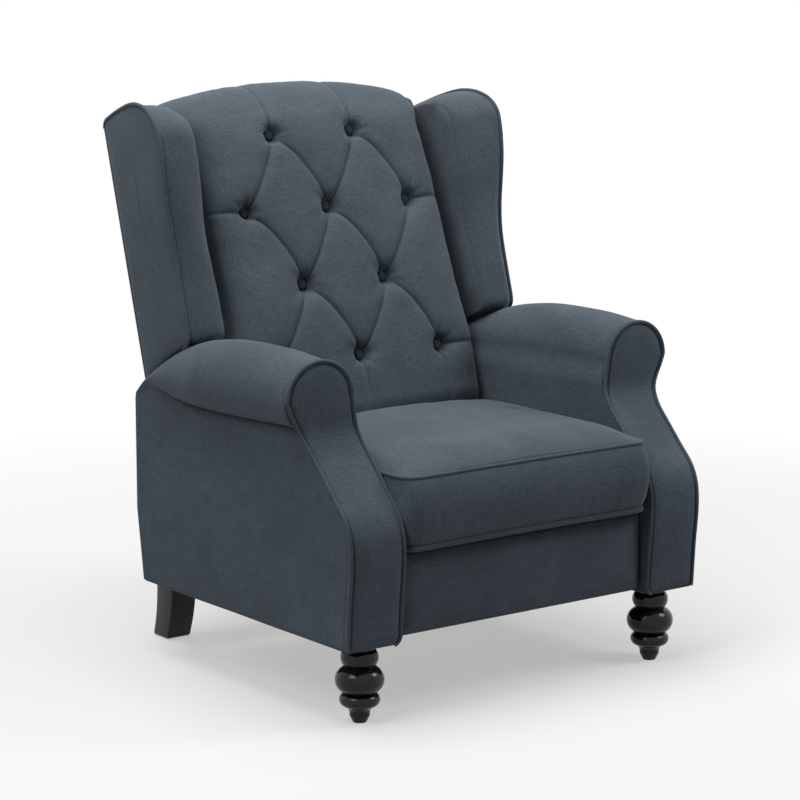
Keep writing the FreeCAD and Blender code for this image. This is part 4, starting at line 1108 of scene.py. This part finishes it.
def seat_cover():
    """Box cushion: full boxing between the two seams and a crowned top."""
    seam = seat_outline(560)
    normal = seam - inward(seam, 1.0)
    middle = (SEAT_FRONT + SEAT_REAR) / 2
    hearts = nearest(seam, (-SEAT_HEART, middle), (SEAT_HEART, middle))
    end_swell = np.where(normal[:, 1] < 0, SEAT_SWELL_FRONT, SEAT_SWELL_REAR)
    swell = SEAT_SWELL_SIDE * np.abs(normal[:, 0]) + end_swell * np.abs(normal[:, 1]) ** 1.5
    rings = []
    for share in np.linspace(0.05, 1, 8, endpoint=False):
        line = hearts + (seam - hearts) * share
        rings.append(level(line, SEAT_LOW))
    for t in np.linspace(0, 1, 35):
        bulge = math.sin(math.pi * t) ** 0.62
        gather = ripple(seam, 26.0, 21) * 0.5 * math.sin(math.pi * t) ** 0.3
        line = seam + normal * (swell * bulge + gather)[:, None]
        rings.append(level(line, SEAT_LOW + (SEAT_HIGH - SEAT_LOW) * t))
    for t in np.linspace(0, 1, 47)[1:]:
        line = hearts + (seam - hearts) * (1 - 0.96 * t ** 1.5)
        rings.append(np.column_stack([line, SEAT_HIGH + seat_rise(line)]))
    return shell(rings)


def seat_piping(z, radius):
    """Piping along a seam of the cushion."""
    line = seat_outline(620)
    line = line + (line - inward(line, 1.0)) * 1.2
    return tube(level(line, z), radius, (0, 0, 1), closed=True)


def seat_welts():
    """Both rows of piping on the cushion."""
    low = seat_piping(SEAT_LOW - SEAT_PIPING_DROP, SEAT_PIPING_LOW)
    high = seat_piping(SEAT_HIGH, SEAT_PIPING_HIGH)
    return merged([low, high])


def deck_cloth():
    """Lining cloth over the springs."""
    half = DECK_HALF
    corners = [(-half, DECK_FRONT), (half, DECK_FRONT), (half, DECK_REAR), (-half, DECK_REAR)]
    outline = even(corners, 300, closed=True)

    def place(line, height):
        return np.stack([line[:, 0], line[:, 1], DECK_Z + height], axis=1)

    return plate(outline, ((-60.0, -170.0), (60.0, -170.0)), DECK_THICKNESS, 1.2, 0.2, place, steps=8)


def footrest_cover():
    """Padded front panel."""
    box = rounded_box(FOOTREST_HALF, FOOTREST_LOW, FOOTREST_HIGH, FOOTREST_CORNER, 7)
    outline = even(box, 460, closed=True)

    def place(line, height):
        wave = ripple(line, 160.0, 31) * 0.5
        return np.stack([line[:, 0], FOOTREST_BACK - height - wave * (height > 14), line[:, 1]], axis=1)

    spine = ((-190.0, 210.0), (190.0, 210.0))
    return plate(outline, spine, FOOTREST_THICKNESS, FOOTREST_RIM, 4.5, place, steps=18)


def apron_cover():
    """Covered rail across the rear, between the legs and the arms."""
    low = APRON_TOP - APRON_EASE
    right = [(APRON_HALF, ARM_FOOT), (APRON_HALF, low), (APRON_HALF - 4, APRON_TOP - 4),
             (APRON_HALF - APRON_EASE, APRON_TOP)]
    left = [(-x, z) for x, z in reversed(right)]
    outline = even(left[-1:] + right + left[:-1], 420, closed=True)

    def place(line, height):
        front = arm_rear(line[:, 1]) + APRON_GAP
        y = front + (APRON_REAR - front) * height / APRON_DEPTH
        return np.stack([line[:, 0], y, line[:, 1]], axis=1)

    return plate(outline, ((-255.0, 190.0), (255.0, 190.0)), APRON_DEPTH, 7.0, 1.2, place, steps=10)


def rear_leg():
    """Curved rear leg, square with eased edges."""
    heights = (LEG_FOOT, 4.5, 20, 40, 64, 88, 112, ARM_FOOT)
    middles = smooth((LEG_FOOT, 40, 88, ARM_FOOT), (312, 301, 294, 293), heights)
    depths = smooth((LEG_FOOT, 40, 88, ARM_FOOT), (49, 51, 53, 54), heights)
    widths = smooth((LEG_FOOT, ARM_FOOT), (50, 54), heights)
    rings = []
    for z in np.linspace(LEG_FOOT, ARM_FOOT, 60):
        trim = max(0.0, 1 - (z - LEG_FOOT) / LEG_TRIM)
        half_x = np.interp(z, heights, widths) / 2 - trim
        half_y = np.interp(z, heights, depths) / 2 - trim
        middle = np.interp(z, heights, middles)
        box = rounded_box(half_x, middle - half_y, middle + half_y, LEG_ROUND, 6)
        rings.append(level(box + (LEG_X, 0), z))
    return shell(rings)


# Assembly

dress_frame()

for side in ("right", "left"):
    def sided(skin):
        return skin if side == "right" else flipped(skin)

    lift = WING_LIFT[side]
    piece("arm_body_" + side, sided(arm_body()), "base", "upholstery", ("arm_cover_" + side,))
    piece("arm_facing_" + side, sided(arm_facing()), "base", "upholstery",
          ("arm_front_panel_" + side,))
    piece("arm_piping_" + side, sided(arm_piping()), "base", "piping", ("arm_welt_" + side,))
    piece("wing_cover_" + side, sided(wing(lift)), "back", "upholstery", ("wing_pad_" + side,))
    piece("wing_piping_" + side, sided(wing_piping(lift)), "back", "piping", ("wing_welt_" + side,))
    piece("rear_leg_eased_" + side, sided(rear_leg()), "base", "dark_lacquer", ("rear_leg_" + side,))

piece("inner_back", inner_back(), "back", "upholstery", ("back_cushion",))
# The buttons take the darkened copy of the cover linen, which is painted shade of their pockets.
piece("covered_buttons", covered_buttons(), "back", "upholstery", ("back_buttons",), cloth="button")
piece("rear_cover", rear_cover(), "back", "upholstery", ("outside_back",))
piece("seat_cover", seat_cover(), "seat", "upholstery", ("seat_cushion",))
piece("seat_piping", seat_welts(), "seat", "piping", ("seat_welts",))
piece("deck_cloth", deck_cloth(), "seat", "lining", ("seat_deck",))
piece("footrest_cover", footrest_cover(), "footrest", "upholstery", ("footrest_pad",))
piece("apron_cover", apron_cover(), "base", "upholstery", ("rear_apron",))


# Studio

def ray_kind(tree):
    """1 for what the camera, gloss or glass sees directly."""
    path = node(tree, "ShaderNodeLightPath")
    seen = maths(tree, "MAXIMUM", path.outputs["Is Camera Ray"], path.outputs["Is Glossy Ray"])
    return maths(tree, "MAXIMUM", seen, path.outputs["Is Transmission Ray"])


def mix_out(tree, kind, share, first, second):
    """Mix of two shaders as the tree's output."""
    mix = node(tree, "ShaderNodeMixShader")
    feed(tree, mix, 0, share)
    feed(tree, mix, 1, first.outputs[0])
    feed(tree, mix, 2, second.outputs[0])
    node(tree, kind, in_Surface=mix.outputs[0])


def build_world():
    """White backdrop to the eye, soft grey light to the object."""
    world = bpy.data.worlds.new("studio")
    bpy.context.scene.world = world
    world.use_nodes = True
    tree = world.node_tree
    tree.nodes.clear()
    soft = node(tree, "ShaderNodeBackground", in_Strength=0.05, in_Color=(0.96, 0.98, 1.0, 1))
    white = node(tree, "ShaderNodeBackground", in_Strength=1.0, in_Color=(1, 1, 1, 1))
    mix_out(tree, "ShaderNodeOutputWorld", ray_kind(tree), soft, white)


def build_floor():
    """Pale floor that keeps the shadow near the object and fades to white."""
    bpy.ops.mesh.primitive_plane_add(size=60)
    floor = bpy.context.object
    floor.name = "studio_floor"
    made = bpy.data.materials.new("pale_floor")
    made.use_nodes = True
    tree = made.node_tree
    tree.nodes.clear()
    shade = node(tree, "ShaderNodeMixRGB", in_Fac=ray_kind(tree),
                 in_Color1=(0.40, 0.40, 0.40, 1), in_Color2=(0.92, 0.92, 0.92, 1))
    matt = node(tree, "ShaderNodeBsdfDiffuse", in_Color=shade.outputs[0])
    glow = node(tree, "ShaderNodeEmission", in_Strength=1.0)
    far = node(tree, "ShaderNodeVectorMath", operation="LENGTH", in_Vector=own_place(tree))
    fade = node(tree, "ShaderNodeMapRange", in_Value=far.outputs["Value"],
                in_From_Min=0.7, in_From_Max=2.2, in_To_Min=0.45)
    share = maths(tree, "MULTIPLY", fade.outputs[0], ray_kind(tree))
    mix_out(tree, "ShaderNodeOutputMaterial", share, matt, glow)
    floor.data.materials.append(made)


def softbox(name, place, aim, size, power):
    """Square soft light aimed at a point."""
    data = bpy.data.lights.new(name, "AREA")
    data.shape = "SQUARE"
    data.size = size
    data.energy = power
    lamp = placed(name, data)
    lamp.location = place
    way = np.array(aim) - np.array(place)
    flat = math.hypot(way[0], way[1])
    lamp.rotation_euler = (math.atan2(flat, -way[2]), 0, math.atan2(way[1], way[0]) - math.pi / 2)


def build_camera():
    """Camera at the photograph's viewing angle."""
    data = bpy.data.cameras.new("camera")
    data.lens = CAMERA_LENS
    data.sensor_width = 36.0
    camera = placed("camera", data)
    camera.location = CAMERA_PLACE
    camera.rotation_euler = (math.pi / 2 - CAMERA_DOWN, 0, -CAMERA_TURN)
    bpy.context.scene.camera = camera


build_world()
build_floor()
softbox("overhead", (-0.4, 0.1, 3.3), (0, 0, 0.5), 2.2, 73)
softbox("left", (-2.6, -0.6, 2.8), (0, 0, 0.6), 1.6, 34)
softbox("rear", (0.5, 3.4, 1.9), (0, 0, 0.5), 1.8, 24)
softbox("right", (1.5, -1.3, 1.7), (0.1, 0, 0.6), 0.8, 16)
build_camera()
bpy.context.scene.view_settings.view_transform = "Standard"
